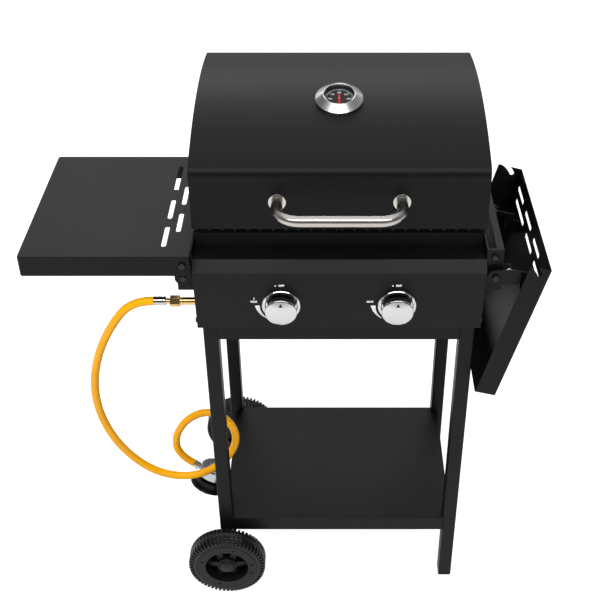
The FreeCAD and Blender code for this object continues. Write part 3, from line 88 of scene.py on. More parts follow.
def levels(node, base, axis):
    """Lowest and highest point of a CAD node along axis, in millimetres from base."""
    heights = [(corner.co - base).dot(axis) / MM for corner in frame["nodes"][node].data.vertices]
    return min(heights), max(heights)


LEG_FRONT_Y = -177.5        # front face of the front legs
CART_X = middle("lid_skin").x
CART_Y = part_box("leg_front_right")[0].y - LEG_FRONT_Y * MM


def cart(x, y, z):
    """A place given in the cart's own millimetres, in the row frame's metres."""
    return Vector((x * MM + CART_X, y * MM + CART_Y, z * MM))


def shown(name, data):
    obj = bpy.data.objects.new(name, data)
    bpy.context.collection.objects.link(obj)
    return obj


# ------------------------------------------------------------------ camera
CAMERA_AT = (-15.0, -1602.5, 1719.0)
CAMERA_DOWN = 36.2          # degrees below level
SENSOR_W = 36.0
LENS = 63.15
SIDE_SHIFT = -0.04098       # share of the frame's width


def set_camera():
    data = bpy.data.cameras.new("camera")
    data.sensor_width = SENSOR_W
    data.lens = LENS
    data.shift_x = SIDE_SHIFT
    camera = shown("camera", data)
    camera.location = cart(*CAMERA_AT)
    camera.rotation_euler = (math.radians(90.0 - CAMERA_DOWN), 0.0, 0.0)
    bpy.context.scene.camera = camera


set_camera()

# ------------------------------------------------------------------ gas hose
HOSE_D = 14.5
HOSE_ROUTE = [
    (-306.0, -175.0, 682.5), (-342.0, -175.0, 682.5), (-382.0, -173.0, 632.0), (-416.0, -168.0, 560.0),
    (-434.0, -160.0, 478.0), (-430.0, -152.0, 396.0), (-402.0, -145.0, 316.0), (-350.0, -138.0, 251.0),
    (-283.0, -131.0, 229.0), (-222.0, -121.0, 254.0), (-190.0, -108.0, 302.0), (-202.0, -100.0, 346.0),
    (-241.0, -97.0, 372.0), (-285.0, -95.0, 351.0), (-313.0, -94.0, 302.0), (-309.77, -92.18, 253.4),
    (-282.6, -93.88, 233.03),
]


def hose_curve(name):
    """Round hose eased along its route, with closed ends."""
    data = bpy.data.curves.new(name, "CURVE")
    data.dimensions = "3D"
    spline = data.splines.new("NURBS")
    spline.points.add(len(HOSE_ROUTE) - 1)
    for point, place in zip(spline.points, HOSE_ROUTE):
        point.co = (*cart(*place), 1.0)
    spline.order_u = 3
    spline.use_endpoint_u = True
    data.bevel_depth = HOSE_D * MM / 2
    data.bevel_resolution = 8
    data.resolution_u = 14
    data.use_fill_caps = True
    return shown(name, data)


hose = hose_curve("hose")


# ------------------------------------------------------------------ node tools
class Field:
    """An output in a node tree; arithmetic on it adds Math nodes."""

    def __init__(self, nodes, socket):
        self.nodes, self.socket = nodes, socket

    def math(self, operation, *values):
        return self.nodes.node("ShaderNodeMath", {"operation": operation}, *values)

    def __add__(self, other):
        return self.math("ADD", self, other)

    def __sub__(self, other):
        return self.math("SUBTRACT", self, other)

    def __rsub__(self, other):
        return self.math("SUBTRACT", other, self)

    def __mul__(self, other):
        return self.math("MULTIPLY", self, other)

    def __truediv__(self, other):
        return self.math("DIVIDE", self, other)

    def __rtruediv__(self, other):
        return self.math("DIVIDE", other, self)

    __radd__, __rmul__ = __add__, __mul__

    def most(self, other):
        return self.math("MAXIMUM", self, other)


def set_stops(ramp, stops):
    """Gives a colour ramp its greys, each a position and a level."""
    while len(ramp.elements) < len(stops):
        ramp.elements.new(0.5)
    for element, (position, level) in zip(ramp.elements, stops):
        element.position = position
        element.color = (level, level, level * 1.01, 1.0)


class Nodes:
    """A node tree that is filled through one method."""

    def __init__(self, tree):
        self.tree = tree

    def feed(self, socket, value):
        """Links a field, or each of a list of them, to a socket, or sets the socket to a value."""
        if isinstance(value, (Field, list)):
            for field in value if isinstance(value, list) else [value]:
                self.tree.links.new(field.socket, socket)
        elif socket.type == "RGBA":
            socket.default_value = (*value, 1.0)
        else:
            socket.default_value = value

    def node(self, kind, settings, *values, out=(), **named):
        """Adds a node with its settings, then feeds its open inputs in their order or by name.

        It gives the first open output, or a list of those that out names.
        """
        made = self.tree.nodes.new(kind)
        for key, value in settings.items():
            if key == "stops":
                set_stops(made.color_ramp, value)
            else:
                setattr(made, key, value)
        for socket, value in zip([s for s in made.inputs if s.enabled], values):
            self.feed(socket, value)
        for name, value in named.items():
            self.feed(made.inputs[name], value)
        opened = {socket.name: Field(self, socket) for socket in made.outputs if socket.enabled}
        return [opened[name] for name in out] if out else next(iter(opened.values()), None)


class Finish(Nodes):
    """One material: a Principled surface and the nodes that vary it."""

    def __init__(self, name, colour, roughness, metallic=0.0, **fixed):
        self.material = bpy.data.materials.new(name)
        self.material.use_nodes = True
        super().__init__(self.material.node_tree)
        self.surface = self.tree.nodes["Principled BSDF"]
        self.set(Base_Color=colour, Roughness=roughness, Metallic=metallic, **fixed)

    def set(self, **sockets):
        for name, value in sockets.items():
            self.feed(self.surface.inputs[name.replace("_", " ")], value)

    def place(self):
        return self.node("ShaderNodeTexCoord", {}, out=["Object"])[0]

    def stretched(self, density):
        """Object coordinates with more or less grain along x, y and z."""
        return self.node("ShaderNodeMapping", {"vector_type": "TEXTURE"}, self.place(),
                         Scale=tuple(1.0 / d for d in density))

    def noise(self, scale, detail=3.0, rough=0.5, place=None):
        return self.node("ShaderNodeTexNoise", {}, place or self.place(),
                         Scale=scale, Detail=detail, Roughness=rough)

    def mix(self, factor, first, second):
        return self.node("ShaderNodeMix", {"data_type": "RGBA"}, factor, first, second)

    def bump(self, height, distance):
        self.set(Normal=self.node("ShaderNodeBump", {}, Strength=1.0, Distance=distance, Height=height))


# ------------------------------------------------------------------ finishes
def grey(level):
    """A black or grey with a trace of blue."""
    return (level, level * 1.01, level * 1.04)


def shaded(colour, share):
    return tuple(share * part for part in colour)


def powder_coat(name, level, roughness, grain=1400.0, depth=0.00003):
    """Satin powder coat: fine orange-peel grain and a faint drift in shade and gloss."""
    coat = Finish(name, grey(level), roughness, Specular_IOR_Level=0.21)
    peel = coat.noise(grain, 2.0, 0.6)
    drift = coat.noise(9.0, 3.0, 0.55)
    coat.set(Base_Color=coat.mix(drift, grey(level * 0.88), grey(level * 1.12)),
             Roughness=roughness + (drift - 0.5) * 0.08 + (peel - 0.5) * 0.06)
    coat.bump(peel, depth)
    return coat.material


def metal(name, colour, roughness, brushed=(900.0, 60.0, 60.0), depth=0.00001, spread=0.12):
    """Metal with fine drawn lines; brushed gives the grain's density along x, y and z."""
    steel = Finish(name, colour, roughness, 1.0)
    lines = steel.noise(1.0, 3.0, 0.6, steel.stretched(brushed))
    patch = steel.noise(30.0, 2.0)
    steel.set(Base_Color=steel.mix(lines, shaded(colour, 0.86), colour),
              Roughness=roughness + (lines - 0.5) * spread + patch * 0.05)
    steel.bump(lines, depth)
    return steel.material


def moulded(name, colour, roughness, grain=900.0, depth=0.00005, **fixed):
    """Moulded plastic, rubber or paint with a fine even grain."""
    plastic = Finish(name, colour, roughness, **fixed)
    texture = plastic.noise(grain, 3.0, 0.6)
    shade = plastic.noise(14.0, 2.0)
    plastic.set(Base_Color=plastic.mix(shade, shaded(colour, 0.92), shaded(colour, 1.08)),
                Roughness=roughness + (texture - 0.5) * 0.12)
    plastic.bump(texture, depth)
    return plastic.material


def polished(name, colour, roughness):
    """Bright plating with the faint cloudiness of handling."""
    plate = Finish(name, colour, roughness, 1.0)
    cloud = plate.noise(40.0, 3.0)
    plate.set(Roughness=cloud * 0.06 + roughness)
    return plate.material


def turned_ring_with_painted_highlight(name, node):
    """Steel brushed round its axis, with fine concentric lines; its colour carries a painted highlight in
    four sectors, with painted shade between them.
    """
    ring = Finish(name, (0.70, 0.68, 0.65), 0.22, 1.0)
    offset = ring.node("ShaderNodeVectorMath", {"operation": "SUBTRACT"}, ring.place(), tuple(middle(node)))
    x, y = ring.node("ShaderNodeSeparateXYZ", {}, offset, out=["X", "Y"])
    angle = ring.node("ShaderNodeMath", {"operation": "ARCTAN2"}, y, x)
    # Mask of four sectors round the axis: the colour is painted lighter in them as a highlight and darker
    # between them as shade, and the roughness follows it.
    painted_highlight_sector = ring.node("ShaderNodeMath", {"operation": "COSINE"}, angle * 4.0 + 0.6) * 0.5 + 0.5
    distance = ring.node("ShaderNodeMath", {"operation": "SQRT"}, x * x + y * y)
    lines = ring.node("ShaderNodeMath", {"operation": "SINE"}, distance * 9000.0) * 0.5 + 0.5
    ring.set(Base_Color=ring.mix(painted_highlight_sector, (0.50, 0.48, 0.45), (0.97, 0.95, 0.92)),
             Roughness=painted_highlight_sector * 0.12 + 0.16)
    ring.bump(lines, 0.000004)
    return ring.material


MATERIALS = {
    "black_coat": powder_coat("black powder coat", level=0.0035, roughness=0.42),
    "box_coat": powder_coat("heat-proof black paint", level=0.0035, roughness=0.55, grain=900.0,
                            depth=0.00006),
    "stainless": metal("satin stainless", (0.68, 0.645, 0.60), roughness=0.22, brushed=(30.0, 700.0, 700.0),
                       depth=0.000002, spread=0.08),
    "chrome": polished("bright chrome", (0.72, 0.72, 0.73), roughness=0.05),
    "zinc": metal("zinc-plated steel", (0.60, 0.66, 0.72), roughness=0.22, brushed=(300.0, 300.0, 300.0),
                  depth=0.000002, spread=0.10),
    "brass": metal("turned brass", (0.93, 0.63, 0.27), roughness=0.20, brushed=(700.0, 60.0, 60.0),
                   depth=0.000002, spread=0.08),
    "black_plastic": moulded("black plastic", (0.006, 0.006, 0.006), roughness=0.36, Specular_IOR_Level=0.30),
    "tyre": moulded("black tyre", (0.006, 0.006, 0.006), roughness=0.34, grain=600.0, depth=0.00004,
                    Specular_IOR_Level=0.40),
    "hose": moulded("orange hose", (0.97, 0.43, 0.0), roughness=0.20, grain=260.0, depth=0.00002,
                    Specular_IOR_Level=0.35),
    "cast_iron": powder_coat("black enamel", level=0.007, roughness=0.34, grain=500.0, depth=0.0001),
    "black_screws": metal("blackened screws", (0.05, 0.05, 0.052), roughness=0.35),
    "dial": moulded("black dial", (0.006, 0.006, 0.006), roughness=0.35),
    "needle": moulded("red needle", (0.60, 0.012, 0.012), roughness=0.35),
    "ceramic": moulded("glazed ceramic", (0.72, 0.71, 0.66), roughness=0.2),
    "glass": Finish("dial glass", (0.02, 0.02, 0.02), roughness=0.02, Alpha=0.06).material,
}
BRIGHT = polished("polished stainless", (0.70, 0.67, 0.63), roughness=0.12)
PRINT = moulded("white print", (0.92, 0.92, 0.92), roughness=0.5)
# The thermometer case's finish has a painted highlight in its colour.
OWN_FINISH = {"lid_handle_fixings": BRIGHT,
              "thermometer_case": turned_ring_with_painted_highlight("turned stainless with painted highlight", "thermometer_case")}


def dress(obj, slot, body, material=None):
    obj.data.materials.clear()
    obj.data.materials.append(material or MATERIALS[slot])
    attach(obj, body)
    return obj


def printed(name, mesh, body):
    """White lettering, which has no material slot of its own."""
    obj = shown(name, mesh)
    obj.data.materials.append(PRINT)
    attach(obj, body)


# ------------------------------------------------------------------ mesh tools
def finish_mesh(bm, name, smooth=False):
    bmesh.ops.remove_doubles(bm, verts=bm.verts, dist=1e-6)
    bmesh.ops.recalc_face_normals(bm, faces=bm.faces)
    mesh = bpy.data.meshes.new(name)
    bm.to_mesh(mesh)
    bm.free()
    if smooth:
        mesh.shade_smooth()
    return mesh


def joined(name, meshes):
    bm = bmesh.new()
    for mesh in meshes:
        bm.from_mesh(mesh)
    return finish_mesh(bm, name)


def soften(obj, width, angle=32.0):
    """Small round on every edge sharper than angle, with flat faces kept flat."""
    edge = obj.modifiers.new("edges", "BEVEL")
    edge.width = width * MM
    edge.segments = 2
    edge.limit_method = "ANGLE"
    edge.angle_limit = math.radians(angle)
    even = obj.modifiers.new("flat faces", "WEIGHTED_NORMAL")
    even.mode = "FACE_AREA"
    even.weight = 90
    even.keep_sharp = True
    return obj


def around(steps):
    """Angles evenly spaced round a circle."""
    return [i * FULL_TURN / steps for i in range(steps)]


def lathe(name, profile, steps=96, closed=False):
    """Turns (radius, height) points about the Y axis; a closed profile makes a ring."""
    bm = bmesh.new()
    rings = []
    for r, h in profile:
        rings.append([bm.verts.new((r * MM * math.cos(turn), h * MM, r * MM * math.sin(turn)))
                      for turn in around(steps if r else 1)])
    pairs = list(zip(rings, rings[1:])) + ([(rings[-1], rings[0])] if closed else [])
    for a, b in pairs:
        for i in range(steps):
            j = (i + 1) % steps
            corners = dict.fromkeys([a[i % len(a)], a[j % len(a)], b[j % len(b)], b[i % len(b)]])
            if len(corners) > 2:
                bm.faces.new(corners)
    return finish_mesh(bm, name, smooth=True)


def swept(name, sections):
    """Closed block through rings of corners, each ring given as a list of places."""
    bm = bmesh.new()
    rings = [[bm.verts.new(corner) for corner in ring] for ring in sections]
    for a, b in zip(rings, rings[1:]):
        for i in range(len(a)):
            j = (i + 1) % len(a)
            bm.faces.new([a[i], a[j], b[j], b[i]])
    bm.faces.new(rings[0][::-1])
    bm.faces.new(rings[-1])
    return finish_mesh(bm, name)


def plate(outline, depth):
    """Thin flat shape from an outline, its back on z = 0."""
    return swept("plate", [[(x * MM, y * MM, z * MM) for x, y in outline] for z in (0.0, depth)])


def seat(mesh, at, axis, up=(0, 0, 1)):
    """Moves a mesh made about Y so that Y runs along axis and its Z leans to up."""
    along = Vector(axis).normalized()
    side = along.cross(Vector(up)).normalized()
    top = side.cross(along)
    mesh.transform(Matrix.Translation(at) @ Matrix((side, along, top)).transposed().to_4x4())
    return mesh


def lay(mesh, place, right, up, out):
    """Moves a mesh made on z = 0 onto a face with these three ways."""
    turn = Matrix((right, up, out)).transposed().to_4x4()
    mesh.transform(Matrix.Translation(place) @ turn)
    return mesh


def moved(mesh, x, y):
    mesh.transform(Matrix.Translation((x * MM, y * MM, 0.0)))
    return mesh


def copies_tree():
    """Geometry Nodes: the mesh itself, with copies of a piece set in a circle about Y."""
    tree = bpy.data.node_groups.new("copies in a circle", "GeometryNodeTree")
    given = {"Geometry": "Geometry", "Piece": "Object", "Copies": "Int", "Material": "Material"}
    for name, kind in given.items():
        tree.interface.new_socket(name, in_out="INPUT", socket_type="NodeSocket" + kind)
    tree.interface.new_socket("Geometry", in_out="OUTPUT", socket_type="NodeSocketGeometry")
    nodes = Nodes(tree)
    own, piece, copies, material = nodes.node("NodeGroupInput", {}, out=list(given))
    points = nodes.node("GeometryNodePoints", {}, Count=copies)
    turn = nodes.node("GeometryNodeInputIndex", {}) / copies * FULL_TURN
    shape = nodes.node("GeometryNodeObjectInfo", {}, Object=piece, out=["Geometry"])[0]
    placed = nodes.node("GeometryNodeInstanceOnPoints", {}, Points=points, Instance=shape,
                        Rotation=nodes.node("ShaderNodeCombineXYZ", {}, Y=turn))
    plain = nodes.node("GeometryNodeRealizeInstances", {}, Geometry=placed)
    whole = nodes.node("GeometryNodeJoinGeometry", {}, Geometry=[plain, own])
    coated = nodes.node("GeometryNodeSetMaterial", {}, Geometry=whole, Material=material)
    nodes.node("NodeGroupOutput", {}, Geometry=coated)
    return tree


COPIES = copies_tree()


def plain_mesh(obj):
    """The mesh that an object's modifiers or lettering come to."""
    return bpy.data.meshes.new_from_object(obj.evaluated_get(bpy.context.evaluated_depsgraph_get()))


def with_copies(name, base, piece, copies, material):
    """Plain mesh of base with the piece repeated about Y."""
    holder, stamp = shown(name + "_base", base), shown(name + "_stamp", piece)
    modifier = holder.modifiers.new("copies", "NODES")
    modifier.node_group = COPIES
    values = {"Piece": stamp, "Copies": copies, "Material": material}
    for item in COPIES.interface.items_tree:
        if item.in_out == "INPUT" and item.name in values:
            modifier[item.identifier] = values[item.name]
    mesh = plain_mesh(holder)
    mesh.name = name
    for made in (holder, stamp):
        bpy.data.objects.remove(made)
    return mesh


# ------------------------------------------------------------------ sheet metal, bars and castings
SOFT_EDGE = {
    "black_coat": 0.5, "box_coat": 0.4, "stainless": 0.3, "zinc": 0.3, "brass": 0.5, "cast_iron": 0.4,
    "black_plastic": 0.6, "chrome": 0.3, "ceramic": 0.3, "black_screws": 0.4,
}
# These have a piece of their own below.
OWN_PIECE = {"hose_ferrule", "hose_end_ferrule"}
OWN_PIECE |= {"wheel_" + end + "_cap" for end in ENDS}
OWN_PIECE |= {part + side for part in ("knob_", "knob_cap_") for side in SIDES}


def softened(node, width):
    """Copy of a CAD node with merged faces and small rounds on its sharp edges, shown in its place."""
    bm = bmesh.new()
    bm.from_mesh(frame["nodes"][node].data)
    bmesh.ops.remove_doubles(bm, verts=bm.verts, dist=2e-6)
    bmesh.ops.dissolve_limit(bm, angle_limit=math.radians(0.6), verts=bm.verts, edges=bm.edges)
    obj = soften(shown("soft_" + node, finish_mesh(bm, "soft_" + node, smooth=True)), width)
    dress(obj, SLOT[node], body_of(node), OWN_FINISH.get(node))
    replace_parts(obj, node)


for node, slot in SLOT.items():
    cad = frame["nodes"][node]
    cad.data.materials.clear()
    cad.data.materials.append(MATERIALS[slot])
    if slot in SOFT_EDGE and node not in OWN_PIECE:
        softened(node, SOFT_EDGE[slot])

# ------------------------------------------------------------------ wheels
# Profiles are (radius, height), with the height measured along the axle: from the tyre's middle
# for the tread and its lugs, from the wheel's inner face for the collar, the web and the paddles'
# ridge, and from HUB_CAP_AT for the cap. A paddle's section is (across, height from its ridge).
LUGS = 55
LUG_W = 4.4
LUG_SLANT = 2.2
TREAD = [
    (57.9, -17.6), (58.3, -18.5), (61.6, -18.6), (61.9, -18.1), (62.4, -18.6), (65.0, -18.7), (65.6, -17.0),
    (68.4, -15.2), (70.2, -12.8), (70.8, -10.4), (70.9, -5.3), (74.1, -5.0), (74.4, -4.6), (74.4, -2.5),
    (73.0, -2.2), (73.0, -1.4), (74.4, -1.1),
]
LUG_OUTER = [(65.7, -18.9), (70.6, -18.6), (73.2, -16.2), (74.4, -12.8), (74.4, -5.2)]
LUG_INNER = [(65.7, -16.0), (68.0, -14.4), (69.6, -12.2), (70.2, -10.0), (70.3, -5.2)]
HUB_CAP_AT = 32.0
HUB_CAP = [
    (0.0, 7.0), (5.0, 6.8), (9.5, 6.2), (12.6, 5.0), (14.2, 3.4), (14.7, 1.8), (14.7, 0.9), (15.4, 0.7),
    (15.4, 0.0), (7.6, 0.0), (7.6, 5.0), (0.0, 5.4),
]
COLLAR = [
    (17.1, 24.0), (18.6, 24.0), (18.6, 33.4), (18.2, 33.8), (16.4, 33.8), (16.0, 33.4), (16.0, 32.2),
    (17.1, 32.2),
]
WEB = [(16.5, 8.0), (41.9, 8.0), (41.9, 10.0), (16.5, 10.0)]
PADDLES = 6
PADDLE_RIDGE = [(17.4, 30.0), (22.0, 29.6), (36.0, 26.4), (41.8, 24.6)]
PADDLE_SECTION = [(-6.6, -9.0), (6.6, -9.0), (6.2, 0.0), (2.6, -1.9), (-2.6, -1.9), (-6.2, 0.0)]


def tread_lug(side):
    """One lug of a side row: radial on the sidewall, slanted across the tread."""
    rings = []
    for i, (outer, inner) in enumerate(zip(LUG_OUTER, LUG_INNER)):
        lean = LUG_SLANT * max(0, i - 1) / 3.0
        ring = []
        for (r, h), edge in ((outer, -1), (outer, 1), (inner, 1), (inner, -1)):
            off = lean + edge * LUG_W / 2
            ring.append((math.sqrt(r * r - off * off) * MM, side * h * MM, off * MM))
        rings.append(ring)
    return swept("lug", rings)


def tyre(end):
    """Grooved tread with a row of lugs on each side, the rows half a step apart."""
    node = "wheel_" + end + "_tyre"
    base = lathe("tread", TREAD + [(r, -h) for r, h in reversed(TREAD)], 2 * LUGS, closed=True)
    near, far = tread_lug(1), tread_lug(-1)
    far.transform(Matrix.Rotation(FULL_TURN / LUGS / 2, 4, "Y"))
    mesh = with_copies("tyre_" + end, base, joined("lugs", [near, far]), LUGS, MATERIALS["tyre"])
    mesh.transform(Matrix.Translation(middle(node)))
    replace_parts(dress(shown("tyre_" + end, mesh), "tyre", body_of(node)), node)


def paddle():
    """Trough-shaped spoke that drops from the collar to the rim."""
    return swept("paddle", [[(r * MM, (high + h) * MM, off * MM) for off, h in PADDLE_SECTION]
                            for r, high in PADDLE_RIDGE])


def on_wheel(end, mesh):
    """Sets a mesh made outward from the wheel's inner face on its own side of the cart."""
    low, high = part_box("wheel_" + end + "_tyre")
    inner_face = (low + high) / 2
    inner_face.y = low.y
    if end == "front":
        mesh.transform(Matrix.Rotation(math.pi, 4, "Z"))
        inner_face.y = high.y
    mesh.transform(Matrix.Translation(inner_face))
    return mesh


def hub_details(end):
    """Collar, closed web and spokes laid over the hub, and its domed cap."""
    name, cap = "hub_trim_" + end, "wheel_" + end + "_cap"
    base = joined("hub_trim", [lathe("collar", COLLAR, 72, closed=True), lathe("web", WEB, 72, closed=True)])
    trim = with_copies(name, base, paddle(), PADDLES, MATERIALS["black_plastic"])
    dress(soften(shown(name, on_wheel(end, trim)), 0.35), "black_plastic", body_of("wheel_" + end + "_hub"))
    dome = lathe("hub_cap_" + end, [(r, h + HUB_CAP_AT) for r, h in HUB_CAP], 72)
    obj = dress(soften(shown("hub_cap_" + end, on_wheel(end, dome)), 0.2), "black_plastic", body_of(cap))
    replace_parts(obj, cap)


for end in ENDS:
    tyre(end)
    hub_details(end)

# ------------------------------------------------------------------ crimped hose ends
FERRULE_R = 7.7
FERRULE_BORE = 4.8
GROOVE = [(0.0, -0.9), (-0.9, -0.5), (-0.9, 0.5), (0.0, 0.9)]


def crimp(name, node, at, along, length, grooves):
    """Pressed ferrule: rolled mouth, straight barrel and dark crimp grooves."""
    mouth = [(HOSE_D / 2 - 0.4, 0.3), (FERRULE_R - 1.0, 0.1), (FERRULE_R - 0.2, 0.8), (FERRULE_R, 1.6)]
    pressed = [(FERRULE_R + r, place + h) for place in grooves for r, h in GROOVE]
    end = [(FERRULE_R, length - 1.2), (FERRULE_R - 0.7, length - 0.2), (FERRULE_BORE, length - 0.2)]
    mesh = lathe(name, mouth + pressed + end + [(FERRULE_BORE, 0.3)], 64, closed=True)
    obj = dress(shown(name, seat(mesh, at, along)), SLOT[node], body_of(node), BRIGHT)
    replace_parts(soften(obj, 0.12, 25.0), node)


hose_start, hose_end = cart(*HOSE_ROUTE[0]), cart(*HOSE_ROUTE[-1])
crimp("hose_crimp", "hose_ferrule", hose_start, (1, 0, 0), length=21.0, grooves=(6.0, 15.5))
crimp("hose_end_crimp", "hose_end_ferrule", hose_end, hose_end - cart(*HOSE_ROUTE[-2]),
      length=14.0, grooves=(4.6, 9.4))

dress(hose, "hose", "cart")
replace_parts(hose, "gas_hose")

# ------------------------------------------------------------------ lettering
RIGHT = Vector((1, 0, 0))


def words(text, size, depth, bold=0.36):
    data = bpy.data.curves.new(text, "FONT")
    data.body = text
    data.size = size * MM
    data.extrude = depth * MM
    data.align_x = "CENTER"
    data.align_y = "CENTER"
    data.space_character = 1.05
    data.resolution_u = 3
    data.offset = bold * MM
    obj = shown("words", data)
    mesh = plain_mesh(obj)
    bpy.data.objects.remove(obj)
    return mesh


def disc(x, y, r, depth, steps=24):
    return plate([(x + r * math.cos(turn), y + r * math.sin(turn)) for turn in around(steps)], depth)


def sweep_arc(inner, outer, degrees, depth, steps=24):
    """Arc band; each radius and the angle change evenly from their first value to their second."""
    near, far = [], []
    for i in range(steps + 1):
        r_in, r_out, turn = (a + (b - a) * i / steps for a, b in (inner, outer, degrees))
        way = Vector((math.cos(math.radians(turn)), math.sin(math.radians(turn))))
        near.append(way * r_in)
        far.append(way * r_out)
    return plate(far + near[::-1], depth)


def flame(x, y, high, depth, steps=28):
    """Small flame: a drop drawn to a leaning point."""
    outline = []
    for turn in around(steps):
        rise = (1 - math.cos(turn)) / 2
        wide = 0.24 * high * math.sin(turn) * (1 - rise) ** 0.55
        lean = 0.10 * high * rise * rise
        outline.append((x + wide + lean, y + high * (rise - 0.4)))
    return plate(outline, depth)


# ------------------------------------------------------------------ knobs and panel print
# Places of the print are right of and above the knob's middle.
PRINT_H = 0.12
PRINT_GAP = 0.02
OFF_DOT = (-8.5, 41.6)
OFF_WORD = (1.2, 41.6)
MAX_WORD = (-44.5, 8.0)
FLAME_AT = (-44.0, 14.4)
CAP_R = 25.95
CAP_DOME_R = 62.0
CAP_DOME_RINGS = (25.2, 24.0, 21.5, 18.5, 15.0, 11.0, 7.0, 3.5, 0.0)
POINTER_AT = 18.5
POINTER = [(-3.4, -3.0), (3.4, -3.0), (0.0, 3.4)]
POINTER_H = 0.5
POINTER_SUNK = 0.28
GRIP_RIBS = 44
GRIP_BORE = 6.0
GRIP_R = 22.3
RIB_R = 22.85


def knob_frame(side):
    """Middle of a knob on the level of its bezel, with the panel's up and outward ways."""
    out = -Vector(JOINTS["knob_" + side + "_push"]["axis"]).normalized()
    cap = middle("knob_cap_" + side)
    return cap - out * (cap - middle("knob_bezels")).dot(out), out.cross(RIGHT).normalized(), out


def panel_print(side):
    """OFF, MAX and the swept arc between them; the left knob also has a flame."""
    base, up, out = knob_frame(side)
    paint, _ = levels("knob_bezels", base, out)
    marks = [disc(*OFF_DOT, 1.4, PRINT_H),
             moved(words("OFF", 5.2, PRINT_H / 2), *OFF_WORD),
             moved(words("MAX", 4.8, PRINT_H / 2), *MAX_WORD),
             sweep_arc((35.0, 36.3), (43.0, 37.2), (180.0, 228.0), PRINT_H)]
    if side == "left":
        marks.append(flame(*FLAME_AT, 5.2, PRINT_H))
    name = "print_" + side
    printed(name, lay(joined(name, marks), base + out * (paint + PRINT_GAP) * MM, RIGHT, up, out), "cart")


def knob_cap(side):
    """Chrome cap with a rolled rim and a shallow dome, and its black pointer."""
    base, up, out = knob_frame(side)
    node = "knob_cap_" + side
    foot, top = levels(node, base, out)

    def dome(r):
        return top - CAP_DOME_R + math.sqrt(CAP_DOME_R ** 2 - r * r)

    rim = dome(CAP_R)
    profile = [(0.0, foot), (CAP_R - 0.8, foot), (CAP_R, foot + 0.5), (CAP_R, rim - 0.7),
               (CAP_R - 0.3, rim - 0.15)]
    profile += [(r, dome(r)) for r in CAP_DOME_RINGS]
    cap = shown("chrome_cap_" + side, seat(lathe("chrome_cap", profile), base, out))
    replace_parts(dress(cap, "chrome", body_of(node)), node)
    lean = math.asin(POINTER_AT / CAP_DOME_R)
    face = out * math.cos(lean) + up * math.sin(lean)
    along = up * math.cos(lean) - out * math.sin(lean)
    place = base + (up * POINTER_AT + out * dome(POINTER_AT) - face * POINTER_SUNK) * MM
    pointer = lay(plate(POINTER, POINTER_H), place, RIGHT, along, face)
    dress(shown("pointer_" + side, pointer), "black_plastic", body_of(node))


def knob_grip(side):
    """Ribbed grip between the bezel and the chrome cap."""
    base, _, out = knob_frame(side)
    node = "knob_" + side
    foot, top = levels(node, base, out)
    profile = [(GRIP_BORE, foot), (GRIP_R - 0.4, foot), (GRIP_R, foot + 0.5), (GRIP_R, top - 0.6),
               (GRIP_R - 0.5, top), (GRIP_BORE, top)]
    section = [(GRIP_R - 0.1, -0.8), (RIB_R, -0.3), (RIB_R, 0.3), (GRIP_R - 0.1, 0.8)]
    rib = swept("rib", [[(r * MM, h * MM, off * MM) for r, off in section] for h in (foot + 0.8, top - 0.9)])
    mesh = with_copies("grip_" + side, lathe("grip", profile, 2 * GRIP_RIBS, closed=True), rib, GRIP_RIBS,
                       MATERIALS["black_plastic"])
    grip = shown("grip_" + side, seat(mesh, base, out))
    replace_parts(dress(grip, "black_plastic", body_of(node)), node)


for side in SIDES:
    panel_print(side)
    knob_cap(side)
    knob_grip(side)

# ------------------------------------------------------------------ thermometer dial
# Angles of the dial are in degrees clockwise from straight up.
DIAL_FIGURES = ((-95, "100"), (-47, "150"), (0, "200"), (47, "250"), (95, "300"))
DIAL_SWEEP = 95.0
DIAL_TICKS = 21
TICK_OUT_R = 22.2
MARK_H = 0.1
MARK_GAP = 0.03
NEEDLE_R = 1.7
NEEDLE_TIP, NEEDLE_TAIL = 8.8, -19.0


def dial_face():
    """Middle of the dial's face, with its up and outward ways."""
    axis = Vector(JOINTS["thermometer_needle_turn"]["axis"]).normalized()
    centre = middle("thermometer_dial")
    _, face = levels("thermometer_dial", centre, axis)
    return centre + axis * face * MM, axis.cross(RIGHT).normalized(), axis


def dial_way(degrees):
    turn = math.radians(90 - degrees)
    return Vector((math.cos(turn), math.sin(turn)))


def tick(degrees, inner, half_width):
    """Radial mark up to the ticks' common outer radius."""
    way = dial_way(degrees)
    across = way.orthogonal() * half_width
    return plate([way * inner - across, way * TICK_OUT_R - across,
                  way * TICK_OUT_R + across, way * inner + across], MARK_H)


def dial_marks():
    """Figures, a long tick at each and four short ones between, and the thin arc round them."""
    place, up, axis = dial_face()
    marks = []
    for degrees, figure in DIAL_FIGURES:
        way = dial_way(degrees)
        marks.append(moved(words(figure, 4.4, MARK_H / 2, 0.12), 15.4 * way.x, 14.6 * way.y))
    half = DIAL_TICKS // 2
    for step in range(DIAL_TICKS):
        marks.append(tick((step - half) * DIAL_SWEEP / half, *((20.0, 0.22) if step % 5 else (18.6, 0.45))))
    marks.append(sweep_arc((22.6, 22.6), (23.1, 23.1), (185.0, -5.0), MARK_H, 48))
    mesh = lay(joined("dial_marks", marks), place + axis * MARK_GAP * MM, RIGHT, up, axis)
    printed("dial_marks", mesh, body_of("thermometer_dial"))


def needle():
    """Red bar with rounded ends over its small pivot."""
    place, up, axis = dial_face()
    lift, _ = levels("thermometer_needle", place, axis)
    outline = []
    for end_y, start in ((NEEDLE_TIP, 0.0), (NEEDLE_TAIL, math.pi)):
        half_round = [start + turn for turn in around(16)[:9]]
        outline += [(NEEDLE_R * math.cos(turn), end_y + NEEDLE_R * math.sin(turn)) for turn in half_round]
    mesh = joined("needle", [plate(outline, 0.7), disc(0.0, 0.0, 2.2, 1.2)])
    obj = shown("needle", lay(mesh, place + axis * lift * MM, RIGHT, up, axis))
    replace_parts(dress(obj, "needle", body_of("thermometer_needle")), "thermometer_needle")


